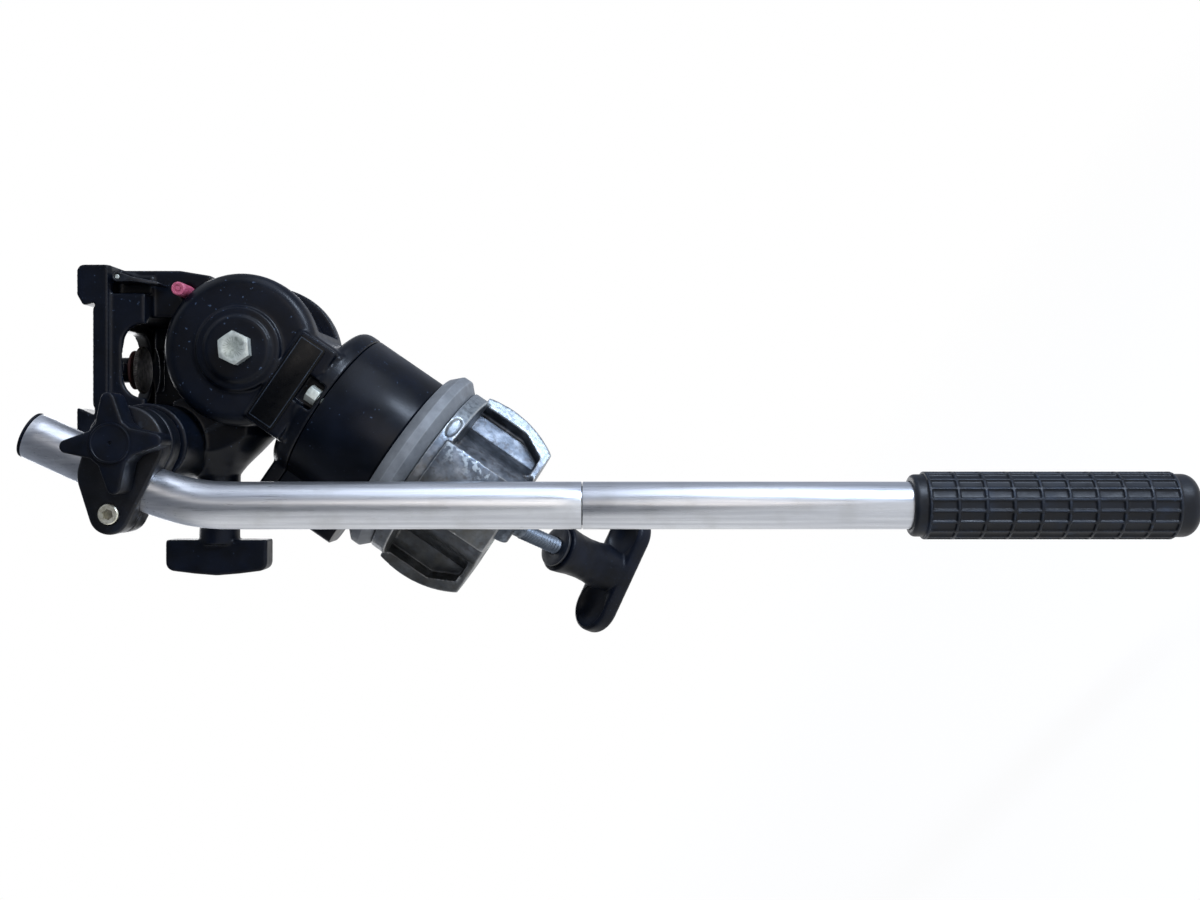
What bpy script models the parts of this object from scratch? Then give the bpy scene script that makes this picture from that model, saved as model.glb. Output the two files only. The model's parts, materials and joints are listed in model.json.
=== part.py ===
"""A fluid video head on a claw half-ball, with a tie-down knob and a two-piece pan bar.

The frame: +Z runs up the pan axis, the tilt axis lies along Y, and the origin is the centre of
the half-ball. The platform side is tilted back, as the head lies when it is put away.
Within the tilting side, x is the front, z is up to the camera platform.
"""

import math

import bmesh
import bpy
from mathutils import Vector

# Shared values
GAP = 0.0003
RUNNING_GAP = 0.0006
OVERRUN = 0.002
MERGE = 0.00001
ROUND_STEPS = 32
SMALL_STEPS = 16
TINY_STEPS = 10
FULL_TURN = 2 * math.pi
SMOOTH_ANGLE = math.radians(35)

# Half-ball with three claw wings
BALL_RADIUS = 0.0475
BALL_TOP = 0.0127
BALL_BOTTOM = -0.0270
NECK_STEP = 0.0035
WING_COUNT = 3
WING_WIDTH = 0.0320
WING_TURN = math.radians(-85)
HUB_RADIUS = 0.0240
POCKET_DEPTH = 0.0065
POCKET_RIM = 0.0080
POCKET_TOP = 0.0085
POCKET_BEND = -0.0115
POCKET_TAPER = 0.0070
POCKET_FOOT = -0.0235

# Grey ring on which the head turns
RING_LIP = 0.0018
RING_LIFT = 0.0053
RING_HEIGHT = 0.0130
RING_CHAMFER = 0.0045

# Screws that hold the half-ball to the ring
BALL_SCREW_RADIUS = 0.0020
BALL_SCREW_HEAD_RADIUS = 0.0035
BALL_SCREW_HEAD_HEIGHT = 0.0040
BALL_SCREW_CIRCLE = 0.0200
BALL_SCREW_REACH = 0.0080

# Pan spindle and what runs on it
SPINDLE_RADIUS = 0.0100
SPINDLE_FLANGE_RADIUS = 0.0195
SPINDLE_FLANGE = 0.0055
SPINDLE_HEADROOM = 0.0060
PAN_BUSH_WALL = 0.0019
PAN_LIP_HEIGHT = 0.0052
THRUST_WASHER_HEIGHT = 0.0010
DRAG_ROTOR_ROOM = 0.0025
DRAG_ROTOR_HEIGHT = 0.0060
PAN_NUT_FLATS = 0.0240
PAN_NUT_HEIGHT = 0.0080
SEAL_INSET = 0.0026
SEAL_WIDTH = 0.0035
SEAL_HEIGHT = 0.0020

# Pan housing with its split ear
HOUSING_RADIUS = 0.0371
HOUSING_WALL = 0.0061
HOUSING_HEIGHT = 0.0364
EAR_LENGTH = 0.0149
EAR_WIDTH = 0.0260
EAR_LIFT = 0.0024
EAR_CORNER = 0.0050
EAR_SLOT = 0.0020
EAR_CHAMFER = 0.0032
CLAMP_STUD_LIFT = 0.0180
CLAMP_STUD_OFFSET = 0.0081
CLAMP_STUD_RADIUS = 0.0030
CLAMP_NUT_FLATS = 0.0100
CLAMP_NUT_HEIGHT = 0.0045
PAN_KNOB_RADIUS = 0.0085
PAN_KNOB_HEIGHT = 0.0130
PAN_KNOB_FLUTES = 8
PAN_KNOB_FLUTE_DEPTH = 0.0009
PAN_KNOB_STEM_RADIUS = 0.0055
PAN_KNOB_STEM = 0.0040

# Fork casting: flange, neck and two round cheeks
FLANGE_LIP = 0.0001
FLANGE_THICKNESS = 0.0102
FLANGE_ROUNDING = 0.0060
CHEEK_RIM = 0.0040
CHEEK_SINK = 0.0005
CHEEK_THICKNESS = 0.0110
CHEEK_ROUNDING = 0.0050
STEP_RADIUS = 0.0185
STEP_HEIGHT = 0.0020
BOSS_RADIUS = 0.0145
BOSS_HEIGHT = 0.0015
NECK_WIDTH = 0.0480
NECK_INSET = 0.0015
NECK_ROUNDING = 0.0040
BAY_CLEARANCE = 0.0015
BAY_FRONT_END = math.radians(130)
BAY_REAR_END = math.radians(-127)
BAY_ROOM = 0.0100
PAD_WIDTH = 0.0460
PAD_HEIGHT = 0.0185
PAD_STAND = 0.0016
PAD_LIFT = 0.0057
LABEL_MARGIN = 0.0016
LABEL_THICKNESS = 0.0006
LABEL_CORNER = 0.0015

# Small screws in the notches of the flange
FLANGE_SCREW_PLACE = 0.0020
FLANGE_SCREW_INSET = 0.0032
FLANGE_SCREW_FLATS = 0.0070
FLANGE_SCREW_HEAD = 0.0052
FLANGE_SCREW_RADIUS = 0.0018
FLANGE_SCREW_LENGTH = 0.0140
NOTCH_WIDTH = 0.0130
NOTCH_FLOOR = 0.0020

# Tilt axle
AXLE_RADIUS = 0.0040
AXLE_FLATS = 0.0130
AXLE_HEAD = 0.0053
AXLE_NUT = 0.0063
AXLE_WASHER_RADIUS = 0.0080
AXLE_WASHER = 0.0016
AXLE_END = 0.0018
AXLE_TURN = math.radians(9)
BUSH_WALL = 0.0060
BUSH_LENGTH = 0.0120
DRAG_DISC_INNER = 0.0120
DRAG_DISC_INSET = 0.0015
DRAG_DISC_THICKNESS = 0.0009

# Tilting casting: hub, columns, platform carrier and cross tube
REST_TILT = math.radians(-34.5)
TILT_HUB_RADIUS = 0.0285
TILT_HUB_FACE = 0.0205
COLUMN_FRONT = 0.0363
COLUMN_TOP = 0.0540
COLUMN_SHOULDER = 0.0300
COLUMN_TOE = (0.0340, 0.0160)
COLUMN_HEEL = (-0.0300, 0.0080)
COLUMN_REAR_FOOT = 0.0270
CARRIER_FACE = 0.0330
CARRIER_BOTTOM = 0.0418
CARRIER_REAR = 0.0425
CARRIER_REAR_TOP = 0.0615
CARRIER_FRONT = 0.0373
CARRIER_CHIN = (0.0334, 0.0479)
CARRIER_CHEST = 0.0576
PLATFORM_TOP = 0.0643
PLATFORM_THICKNESS = 0.0060
PLATFORM_RELIEF = 0.0008
HOOK_TOP = 0.0713
HOOK_ROUNDING = 0.0030
FRONT_HOOK_EDGE = 0.0239
FRONT_HOOK_LIP = (0.0193, 0.0686)
FRONT_HOOK_ROOT = 0.0206
REAR_HOOK_ROOT = 0.0291
REAR_HOOK_LIP = (-0.0259, 0.0706)
REAR_HOOK_BACK = 0.0372
CAVITY_FRONT = 0.0150
CAVITY_REAR = 0.0265
CAVITY_FACE = 0.0280
CAVITY_BOTTOM = 0.0330
CAVITY_ROUNDING = 0.0060
WINDOW_RADIUS = 0.0165
WINDOW_PLACE = (-0.0058, 0.0354)
CROSS_RADIUS = 0.0175
CROSS_PLACE = (-0.0418, 0.0361)
CROSS_INSET = 0.0010
TOOTH_COUNT = 24
TOOTH_HEIGHT = 0.0012
TILT_LOCK_RADIUS = 0.0095
TILT_LOCK_HEIGHT = 0.0178
TILT_LOCK_FACE = 0.0797
LEVER_BAY_REAR = 0.0248
LEVER_BAY_TOP = 0.0565
LEVER_BAY_FACE = 0.0215

# Camera screw with its washer
SCREW_RADIUS = 0.00476
SCREW_PLACE = -0.0073
SCREW_DISC_RADIUS = 0.0110
SCREW_DISC_BOTTOM = 0.0526
SCREW_DISC_THICKNESS = 0.0036
SCREW_STAND = 0.0055
SCREW_WASHER_RADIUS = 0.0090
SCREW_WASHER_THICKNESS = 0.0012

# Plate lock lever and safety pin
LEVER_PIVOT = (0.0318, 0.0530)
LEVER_PIN_RADIUS = 0.0010
LEVER_EYE_RADIUS = 0.0022
LEVER_THICKNESS = 0.0016
LEVER_TIP = (0.0288, 0.0352)
LEVER_NEAR = 0.0345
LEVER_FAR = 0.0222
SAFETY_PLACE = (0.0265, 0.0262)
SAFETY_RADIUS = 0.0030
SAFETY_STEM_RADIUS = 0.0014
SAFETY_FACE = 0.0350
SAFETY_TRAVEL = 0.0030
SAFETY_HEAD = 0.0095
SAFETY_STEM = 0.0110
SPRING_WIRE = 0.0004
SPRING_TURNS = 4
SPRING_POINTS = 8

# Tilt lock
LOCK_SCREW_RADIUS = 0.0040
LOCK_SCREW_END = 0.0360
LOCK_SHOE_LENGTH = 0.0060
LOCK_STEM_RADIUS = 0.0092
LOCK_STEM = 0.0062
PADDLE_HALF_WIDTH = 0.0234
PADDLE_DEPTH = 0.0165
PADDLE_THICKNESS = 0.0125
PADDLE_CORNER = 0.0040
PADDLE_BOW = 0.0020

# Pan bar, in a plane beside the half-ball
BAR_RADIUS = 0.0100
BAR_WALL = 0.0015
BAR_END = (-0.0385, 0.0786)
BAR_SLOPE = math.radians(24.5)
BAR_STRAIGHT = 0.0526
BAR_BEND = 0.0820
BEND_STEPS = 6
SEAM_HEIGHT = -0.1516
COUPLER_LENGTH = 0.0500
COUPLER_BORE = 0.0040
GRIP_START = -0.2889
GRIP_LENGTH = 0.1188
GRIP_WALL = 0.0043
GRIP_COLLAR_WALL = 0.0031
GRIP_COLLAR = 0.0060
GRIP_END_WALL = 0.0030
GRIP_CELLS = 14
GRIP_ROWS = 9
GRIP_PITCH = 0.0114
GRIP_RIDGE = 0.0011
GRIP_RIDGE_HEIGHT = 0.0008
GRIP_NOSE = 0.0050
PLUG_DEPTH = 0.0080
PLUG_RIM = 0.0012

# Bar clamp on the rosette
ROSETTE_PLAY = 0.0005
CLAMP_BED = 0.0018
CLAMP_COVER = 0.0020
CLAMP_SPLIT = 0.0006
CLAMP_SHOULDER = 0.0158
SADDLE_WALL = 0.0038
ROSETTE_RADIUS = 0.0150
CLAMP_TOE = 0.0085
CLAMP_REACH = 0.0401
CLAMP_SCREW_PLACE = (-0.0709, 0.0427)
CLAMP_SCREW_RADIUS = 0.0025
CLAMP_SCREW_HEAD_RADIUS = 0.00425
CLAMP_SCREW_HEAD = 0.0050
CLAMP_SCREW_SOCKET = 0.0040
CLAMP_SCREW_SINK = 0.0042
STUD_RADIUS = 0.0030
STUD_END = 0.0200

# Star knob of the bar clamp
STAR_RADIUS = 0.0205
STAR_VALLEY = 0.0098
STAR_POINTS = 4
STAR_TIP = 0.0028
STAR_TIP_SWEEP = math.radians(80)
STAR_VALLEY_SHARE = 0.14
STAR_THICKNESS = 0.0140
STAR_TURN = math.radians(4)
STAR_CAP_RADIUS = 0.0084
STAR_CAP = 0.0010
STAR_HUB = 0.0020
STAR_EDGE = 0.0011
STAR_BEVEL_ANGLE = math.radians(70)

# Tie-down rod, washer and knob
TIE_PIVOT_LIFT = 0.0020
TIE_LEAN = math.radians(36.5)
TIE_TURN = math.radians(80.5)
TIE_EYE_RADIUS = 0.0080
TIE_EYE_WIDTH = 0.0140
TIE_FORK_REACH = 0.0125
TIE_PIN_RADIUS = 0.0025
TIE_PIN_LENGTH = 0.0290
TIE_ROD_RADIUS = 0.0040
TIE_ROD_LENGTH = 0.0600
TIE_WASHER_RADIUS = 0.0100
TIE_WASHER = 0.0016
TIE_KNOB_START = 0.0362
TIE_KNOB_TRAVEL = 0.0100
TIE_KNOB_NECK_RADIUS = 0.0118
TIE_KNOB_THROAT_RADIUS = 0.0100
TIE_KNOB_PLATE = 0.0690
TIE_BAR_LENGTH = 0.0640
TIE_BAR_WIDTH = 0.0260
TIE_BAR_THICKNESS = 0.0085
TIE_BAR_ROUNDING = 0.0025
TIE_DISH_LENGTH = 0.0210
TIE_DISH_WIDTH = 0.0170
TIE_DISH_DEPTH = 0.0045
TIE_DISH_PLACE = 0.0180
TIE_KNOB_TURN = math.radians(-74)

# Worked out from the values above
ORIGIN = (0, 0, 0)
STAND = (math.pi / 2, 0, 0)
NECK_RADIUS = BALL_RADIUS - NECK_STEP
POCKET_RADIUS = BALL_RADIUS - POCKET_RIM
POCKET_FOOT_RADIUS = POCKET_RADIUS - POCKET_TAPER
RING_RADIUS = NECK_RADIUS + RING_LIP
RING_BOTTOM = BALL_TOP + RING_LIFT
RING_TOP = RING_BOTTOM + RING_HEIGHT
BALL_SCREW_TOP = RING_BOTTOM + BALL_SCREW_REACH
TIE_PIVOT = BALL_BOTTOM + TIE_PIVOT_LIFT
HOUSING_BOTTOM = RING_TOP + RUNNING_GAP
HOUSING_TOP = HOUSING_BOTTOM + HOUSING_HEIGHT
HOUSING_BORE = HOUSING_RADIUS - HOUSING_WALL
SEAL_OUTER = HOUSING_RADIUS - SEAL_INSET
SEAL_INNER = SEAL_OUTER - SEAL_WIDTH
EAR_OUTER = HOUSING_RADIUS + EAR_LENGTH
EAR_BOTTOM = HOUSING_BOTTOM + EAR_LIFT
CLAMP_STUD_HEIGHT = EAR_BOTTOM + CLAMP_STUD_LIFT
CLAMP_STUD_PLACE = HOUSING_RADIUS + CLAMP_STUD_OFFSET
SPINDLE_FLANGE_TOP = RING_TOP + SPINDLE_FLANGE
SPINDLE_TOP = HOUSING_TOP - SPINDLE_HEADROOM
DRAG_ROTOR_RADIUS = HOUSING_BORE - DRAG_ROTOR_ROOM
PAN_LIP_TOP = HOUSING_BOTTOM + PAN_LIP_HEIGHT
PAN_LIP_RADIUS = SPINDLE_FLANGE_RADIUS + PAN_BUSH_WALL + 2 * GAP
ROTOR_BOTTOM = PAN_LIP_TOP + THRUST_WASHER_HEIGHT + 2 * GAP
FORK_BOTTOM = HOUSING_TOP + GAP
FLANGE_RADIUS = HOUSING_RADIUS + FLANGE_LIP
FLANGE_TOP = FORK_BOTTOM + FLANGE_THICKNESS
FLANGE_SCREW_CIRCLE = FLANGE_RADIUS - FLANGE_SCREW_INSET
PAD_PLACE = FLANGE_TOP + PAD_LIFT
BAY_RADIUS = TILT_HUB_RADIUS + BAY_CLEARANCE
BAY_REACH = LOCK_SCREW_END + BAY_ROOM
CHEEK_RADIUS = BAY_RADIUS + CHEEK_RIM
CHEEK_INNER = TILT_HUB_FACE + DRAG_DISC_THICKNESS + 2 * GAP
CHEEK_FACE = CHEEK_INNER + CHEEK_THICKNESS
NECK_DEPTH = 2 * (CHEEK_FACE - NECK_INSET)
PAD_FACE = CHEEK_FACE + PAD_STAND
TILT_HEIGHT = FLANGE_TOP + CHEEK_RADIUS - CHEEK_SINK
DRAG_DISC_OUTER = TILT_HUB_RADIUS - DRAG_DISC_INSET
SHOE_END = LOCK_SCREW_END - GAP - LOCK_SHOE_LENGTH
CROSS_FACE = BALL_RADIUS - CROSS_INSET
CLAMP_BACK_FACE = CROSS_FACE + TOOTH_HEIGHT + ROSETTE_PLAY
BAR_PLANE = CLAMP_BACK_FACE + CLAMP_BED + BAR_RADIUS
GRIP_RADIUS = BAR_RADIUS + GRIP_WALL
GRIP_COLLAR_RADIUS = BAR_RADIUS + GRIP_COLLAR_WALL
CLAMP_FRONT_FACE = BAR_PLANE + BAR_RADIUS + CLAMP_COVER
CLAMP_SADDLE = BAR_RADIUS + SADDLE_WALL
BAR_DIRECTION = Vector((-math.sin(BAR_SLOPE), 0, -math.cos(BAR_SLOPE)))
BAR_START = Vector((BAR_END[0], -BAR_PLANE, BAR_END[1]))
BEND_REACH = BAR_BEND * math.tan(BAR_SLOPE / 2)
BEND_CORNER = BAR_START + BAR_DIRECTION * (BAR_STRAIGHT + BEND_REACH)


def clear_scene():
    for item in list(bpy.data.objects):
        bpy.data.objects.remove(item)


def collection(name):
    made = bpy.data.collections.new(name)
    bpy.context.scene.collection.children.link(made)
    return made


def finish_of(name, colour, roughness, metallic=0.0):
    """A material with a plain Principled surface."""
    made = bpy.data.materials.new(name)
    made.use_nodes = True
    surface = made.node_tree.nodes["Principled BSDF"]
    surface.inputs["Base Color"].default_value = (*colour, 1.0)
    surface.inputs["Roughness"].default_value = roughness
    surface.inputs["Metallic"].default_value = metallic
    made.diffuse_color = (*colour, 1.0)
    return made


def empty(name, parent=None, at=ORIGIN, turn=ORIGIN):
    """An axis or frame that pieces are placed from."""
    made = bpy.data.objects.new(name, None)
    PARTS.objects.link(made)
    made.parent = parent
    made.location = at
    made.rotation_euler = turn
    return made


def piece(name, mesh, finish, parent=None, at=ORIGIN, turn=ORIGIN):
    """An object in the part's collection; one without a finish is a shape that cuts or joins."""
    made = bpy.data.objects.new(name, mesh)
    PARTS.objects.link(made)
    made.parent = parent
    made.location = at
    made.rotation_euler = turn
    if finish:
        made.data.materials.append(finish)
    return made


def turned(name, profile, finish=None, parent=None, at=ORIGIN, turn=ORIGIN, steps=ROUND_STEPS):
    """A turned shape: its profile of (radius, height) runs down the outer side."""
    mesh = bpy.data.meshes.new(name)
    points = [(radius, 0, height) for radius, height in profile]
    edges = [(i, i + 1) for i in range(len(points) - 1)]
    if profile[0][0] > 0:
        edges.append((len(points) - 1, 0))
    mesh.from_pydata(points, edges, [])
    made = piece(name, mesh, finish, parent, at, turn)
    screw = made.modifiers.new("turn", "SCREW")
    screw.steps = steps
    screw.render_steps = steps
    screw.use_merge_vertices = True
    screw.merge_threshold = MERGE
    return made


def disc(radius, bottom, top):
    """The profile of a plain cylinder."""
    return [(0, top), (radius, top), (radius, bottom), (0, bottom)]


def tube(inner, outer, bottom, top):
    """The profile of a plain ring or sleeve."""
    return [(outer, top), (outer, bottom), (inner, bottom), (inner, top)]


def weld(mesh):
    """Joins loose caps to sides and turns every face outwards."""
    form = bmesh.new()
    form.from_mesh(mesh)
    bmesh.ops.remove_doubles(form, verts=form.verts, dist=MERGE)
    bmesh.ops.recalc_face_normals(form, faces=form.faces)
    form.to_mesh(mesh)
    form.free()


def mesh_of(curve):
    """The welded mesh of a curve."""
    guide = bpy.data.objects.new(curve.name + "_guide", curve)
    PARTS.objects.link(guide)
    seen = guide.evaluated_get(bpy.context.evaluated_depsgraph_get())
    mesh = bpy.data.meshes.new_from_object(seen)
    bpy.data.objects.remove(guide)
    weld(mesh)
    return mesh


def slab(name, outline, thickness, finish=None, parent=None, at=ORIGIN, turn=ORIGIN):
    """A flat outline given half its thickness to each side."""
    curve = bpy.data.curves.new(name, "CURVE")
    curve.dimensions = "2D"
    curve.fill_mode = "BOTH"
    curve.extrude = thickness / 2
    spline = curve.splines.new("POLY")
    spline.points.add(len(outline) - 1)
    for point, (x, y) in zip(spline.points, outline):
        point.co = (x, y, 0, 1)
    spline.use_cyclic_u = True
    return piece(name, mesh_of(curve), finish, parent, at, turn)


def rod(name, route, radius, finish=None, parent=None, sides=2, at=ORIGIN, turn=ORIGIN):
    """A round bar or wire along a route of points."""
    curve = bpy.data.curves.new(name, "CURVE")
    curve.dimensions = "3D"
    curve.bevel_depth = radius
    curve.bevel_resolution = sides
    curve.use_fill_caps = True
    spline = curve.splines.new("POLY")
    spline.points.add(len(route) - 1)
    for point, place in zip(spline.points, route):
        point.co = (*place, 1)
    return piece(name, mesh_of(curve), finish, parent, at, turn)


def block(name, low, high, finish=None, parent=None, turn=ORIGIN):
    """A box between two corners."""
    form = bmesh.new()
    bmesh.ops.create_cube(form, size=1)
    size = Vector(high) - Vector(low)
    middle = (Vector(high) + Vector(low)) / 2
    for vertex in form.verts:
        vertex.co = Vector(a * b for a, b in zip(vertex.co, size)) + middle
    mesh = bpy.data.meshes.new(name)
    form.to_mesh(mesh)
    form.free()
    return piece(name, mesh, finish, parent, ORIGIN, turn)


def shape(body, operation, *tools):
    """Cuts, joins or trims a piece with hidden shapes."""
    for tool in tools:
        PARTS.objects.unlink(tool)
        CUTTERS.objects.link(tool)
        tool.hide_render = True
        tool.display_type = "WIRE"
        boolean = body.modifiers.new(tool.name, "BOOLEAN")
        boolean.operation = operation
        boolean.object = tool
    return body


def cut(body, *tools):
    return shape(body, "DIFFERENCE", *tools)


def join(body, *tools):
    return shape(body, "UNION", *tools)


def use_manifold(body):
    """For a casting of many joined shapes, which the exact solver leaves open."""
    for step in body.modifiers:
        if step.type == "BOOLEAN":
            step.solver = "MANIFOLD"


def bevel(body, width, steps=2, angle=SMOOTH_ANGLE):
    """Rounds the edges that are sharper than an angle."""
    rounding = body.modifiers.new("rounding", "BEVEL")
    rounding.width = width
    rounding.segments = steps
    rounding.limit_method = "ANGLE"
    rounding.angle_limit = angle
    return body


def arc(middle, radius, start, end, steps):
    """Points along an arc, angles in radians from +x."""
    places = []
    for i in range(steps + 1):
        angle = start + (end - start) * i / steps
        places.append((middle[0] + radius * math.cos(angle), middle[1] + radius * math.sin(angle)))
    return places


def rounded_box(width, height, corner, steps=3):
    """The outline of a rectangle with round corners, about its middle."""
    x = width / 2 - corner
    y = height / 2 - corner
    outline = []
    for k, middle in enumerate(((x, y), (-x, y), (-x, -y), (x, -y))):
        outline += arc(middle, corner, k * math.pi / 2, (k + 1) * math.pi / 2, steps)
    return outline


def round_about(circles, steps=24):
    """The outline of a belt pulled tight round circles of (x, y, radius)."""
    cloud = []
    for x, y, radius in circles:
        cloud += arc((x, y), radius, 0, FULL_TURN * (steps - 1) / steps, steps - 1)
    cloud.sort()
    halves = []
    for places in (cloud, cloud[::-1]):
        half = []
        for place in places:
            while len(half) > 1 and turn_of(half[-2], half[-1], place) <= 0:
                half.pop()
            half.append(place)
        halves += half[:-1]
    return halves


def turn_of(a, b, c):
    """Above zero where the path from a over b to c turns left."""
    return (b[0] - a[0]) * (c[1] - a[1]) - (b[1] - a[1]) * (c[0] - a[0])


def hexagon(flats):
    """The outline of a hexagon by its width across flats."""
    return arc((0, 0), flats / math.sqrt(3), 0, FULL_TURN * 5 / 6, 5)


def polar(angle, radius):
    """A point at an angle round the upright axis."""
    return (radius * math.cos(angle), radius * math.sin(angle))


def bead(name, size, parent=None, at=ORIGIN, turn=ORIGIN):
    """A ball drawn out to half sizes along its three axes."""
    form = bmesh.new()
    bmesh.ops.create_uvsphere(form, u_segments=TINY_STEPS, v_segments=TINY_STEPS // 2, radius=1)
    for vertex in form.verts:
        vertex.co = Vector(a * b for a, b in zip(vertex.co, size))
    mesh = bpy.data.meshes.new(name)
    form.to_mesh(mesh)
    form.free()
    return piece(name, mesh, None, parent, at, turn)


def bore(name, radius, start, end, parent=None, at=ORIGIN, turn=ORIGIN, steps=SMALL_STEPS):
    """A plain round cutter from one height to another along its own axis."""
    low, high = sorted((start, end))
    return turned(name, disc(radius, low, high), None, parent, at, turn, steps)


def hexagon_bar(name, flats, low, high, finish=None, parent=None, at=ORIGIN, turn=ORIGIN, spin=0):
    """A hexagonal bar between two heights along its own axis."""
    outline = [polar(math.atan2(y, x) + spin, math.hypot(x, y)) for x, y in hexagon(flats)]
    made = slab(name, outline, high - low, finish, parent, at, turn)
    for vertex in made.data.vertices:
        vertex.co.z += (high + low) / 2
    return made


def wave_outline(radius, depth, count, steps):
    """A round outline with waves: full radius at each crest, less by the depth between."""
    outline = []
    for i in range(count * steps):
        angle = FULL_TURN * i / (count * steps)
        trough = (1 - math.cos(count * angle)) / 2
        outline.append(polar(angle, radius - depth * trough))
    return outline


# Half-ball, ring and spindle


def make_half_ball(metal):
    """A truncated ball left standing as three wings, each side of a wing pocketed."""
    crest = math.asin(BALL_TOP / BALL_RADIUS)
    foot = math.asin(BALL_BOTTOM / BALL_RADIUS)
    sweep = arc((0, 0), BALL_RADIUS, crest, foot, 6)
    ball = turned("half_ball", [(0, BALL_TOP)] + sweep + [(0, BALL_BOTTOM)], metal)
    root = math.asin(WING_WIDTH / 2 / HUB_RADIUS)
    pitch = FULL_TURN / WING_COUNT
    wings = [WING_TURN + pitch * k for k in range(WING_COUNT)]
    outline = []
    for wing in wings:
        across = Vector(polar(wing + math.pi / 2, WING_WIDTH / 2))
        tip = Vector(polar(wing, BALL_RADIUS + OVERRUN))
        outline += [tuple(tip - across), tuple(tip + across)]
        outline += arc((0, 0), HUB_RADIUS, wing + root, wing + pitch - root, 4)
    shape(ball, "INTERSECT", slab("wing_star", outline, 2 * BALL_RADIUS))
    join(ball, turned("ball_neck", disc(NECK_RADIUS, BALL_TOP - OVERRUN, RING_BOTTOM - GAP)))
    pocket = [
        (HUB_RADIUS, POCKET_TOP),
        (HUB_RADIUS, POCKET_FOOT),
        (POCKET_FOOT_RADIUS, POCKET_FOOT),
        (POCKET_RADIUS, POCKET_BEND),
        (POCKET_RADIUS, POCKET_TOP),
    ]
    thickness = POCKET_DEPTH + OVERRUN
    for wing in wings:
        for side in (-1, 1):
            middle = polar(wing + side * math.pi / 2, WING_WIDTH / 2 - POCKET_DEPTH + thickness / 2)
            cut(ball, slab("pocket", pocket, thickness, at=(*middle, 0), turn=(math.pi / 2, 0, wing)))
    return ball


def fork_the_ball(ball, fork):
    """The slot and pin hole for the eye of the tie-down rod."""
    side = TIE_EYE_WIDTH / 2 + GAP
    floor = BALL_BOTTOM - TIE_PIVOT - OVERRUN
    roof = TIE_EYE_RADIUS + 2 * GAP
    slot = block("eye_slot", (-TIE_FORK_REACH, -side, floor), (TIE_FORK_REACH, side, roof), parent=fork)
    half = TIE_PIN_LENGTH / 2 + GAP
    hole = bore("pin_hole", TIE_PIN_RADIUS + GAP, -half, HUB_RADIUS + OVERRUN, fork, turn=STAND)
    cut(ball, slot, hole)


def make_base(ball, cast, steel, brass, felt):
    hole = SPINDLE_RADIUS + GAP
    ring = turned(
        "base_ring",
        [
            (RING_RADIUS - RING_CHAMFER, RING_TOP),
            (RING_RADIUS, RING_TOP - RING_CHAMFER),
            (RING_RADIUS, RING_BOTTOM + RING_CHAMFER),
            (RING_RADIUS - RING_CHAMFER, RING_BOTTOM),
            (hole, RING_BOTTOM),
            (hole, RING_TOP),
        ],
        cast,
    )
    turned(
        "pan_spindle",
        [
            (0, SPINDLE_TOP),
            (SPINDLE_RADIUS, SPINDLE_TOP),
            (SPINDLE_RADIUS, SPINDLE_FLANGE_TOP),
            (SPINDLE_FLANGE_RADIUS, SPINDLE_FLANGE_TOP),
            (SPINDLE_FLANGE_RADIUS, RING_TOP + GAP),
            (SPINDLE_RADIUS, RING_TOP + GAP),
            (SPINDLE_RADIUS, RING_BOTTOM + GAP),
            (0, RING_BOTTOM + GAP),
        ],
        steel,
        steps=SMALL_STEPS,
    )
    rotor_top = ROTOR_BOTTOM + DRAG_ROTOR_HEIGHT
    turned("pan_drag_rotor", tube(hole, DRAG_ROTOR_RADIUS, ROTOR_BOTTOM, rotor_top), brass, steps=SMALL_STEPS)
    nut = hexagon_bar("pan_nut", PAN_NUT_FLATS, rotor_top + GAP, rotor_top + GAP + PAN_NUT_HEIGHT, steel)
    cut(nut, bore("pan_nut_hole", hole, rotor_top, SPINDLE_TOP))
    head_top = BALL_BOTTOM + BALL_SCREW_HEAD_HEIGHT
    for k in range(WING_COUNT):
        place = (*polar(WING_TURN + FULL_TURN * k / WING_COUNT, BALL_SCREW_CIRCLE), 0)
        profile = [
            (0, BALL_SCREW_TOP),
            (BALL_SCREW_RADIUS, BALL_SCREW_TOP),
            (BALL_SCREW_RADIUS, head_top),
            (BALL_SCREW_HEAD_RADIUS, head_top),
            (BALL_SCREW_HEAD_RADIUS, BALL_BOTTOM + GAP),
            (0, BALL_BOTTOM + GAP),
        ]
        turned(f"ball_screw_{k + 1}", profile, steel, at=place, steps=TINY_STEPS)
        wide = BALL_SCREW_HEAD_RADIUS + GAP
        narrow = BALL_SCREW_RADIUS + GAP
        sink = [
            (0, RING_BOTTOM + OVERRUN),
            (narrow, RING_BOTTOM + OVERRUN),
            (narrow, head_top + GAP),
            (wide, head_top + GAP),
            (wide, BALL_BOTTOM - OVERRUN),
            (0, BALL_BOTTOM - OVERRUN),
        ]
        cut(ball, turned("screw_sink", sink, at=place, steps=TINY_STEPS))
        top = BALL_SCREW_TOP + GAP
        cut(ring, bore("ring_hole", narrow, RING_BOTTOM - OVERRUN, top, at=place, steps=TINY_STEPS))
    turned("pan_seal", tube(SEAL_INNER, SEAL_OUTER, RING_TOP + GAP, RING_TOP + GAP + SEAL_HEIGHT), felt)


# Pan housing, its bearings and the pan lock


def ear_outline():
    """The ear on the rear of the housing, seen from above."""
    x = -EAR_OUTER + EAR_CORNER
    y = EAR_WIDTH / 2 - EAR_CORNER
    root = -(HOUSING_BORE + OVERRUN)
    outline = arc((x, y), EAR_CORNER, math.pi / 2, math.pi, 4)
    outline += arc((x, -y), EAR_CORNER, math.pi, 3 * math.pi / 2, 4)
    return outline + [(root, -EAR_WIDTH / 2), (root, EAR_WIDTH / 2)]


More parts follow.
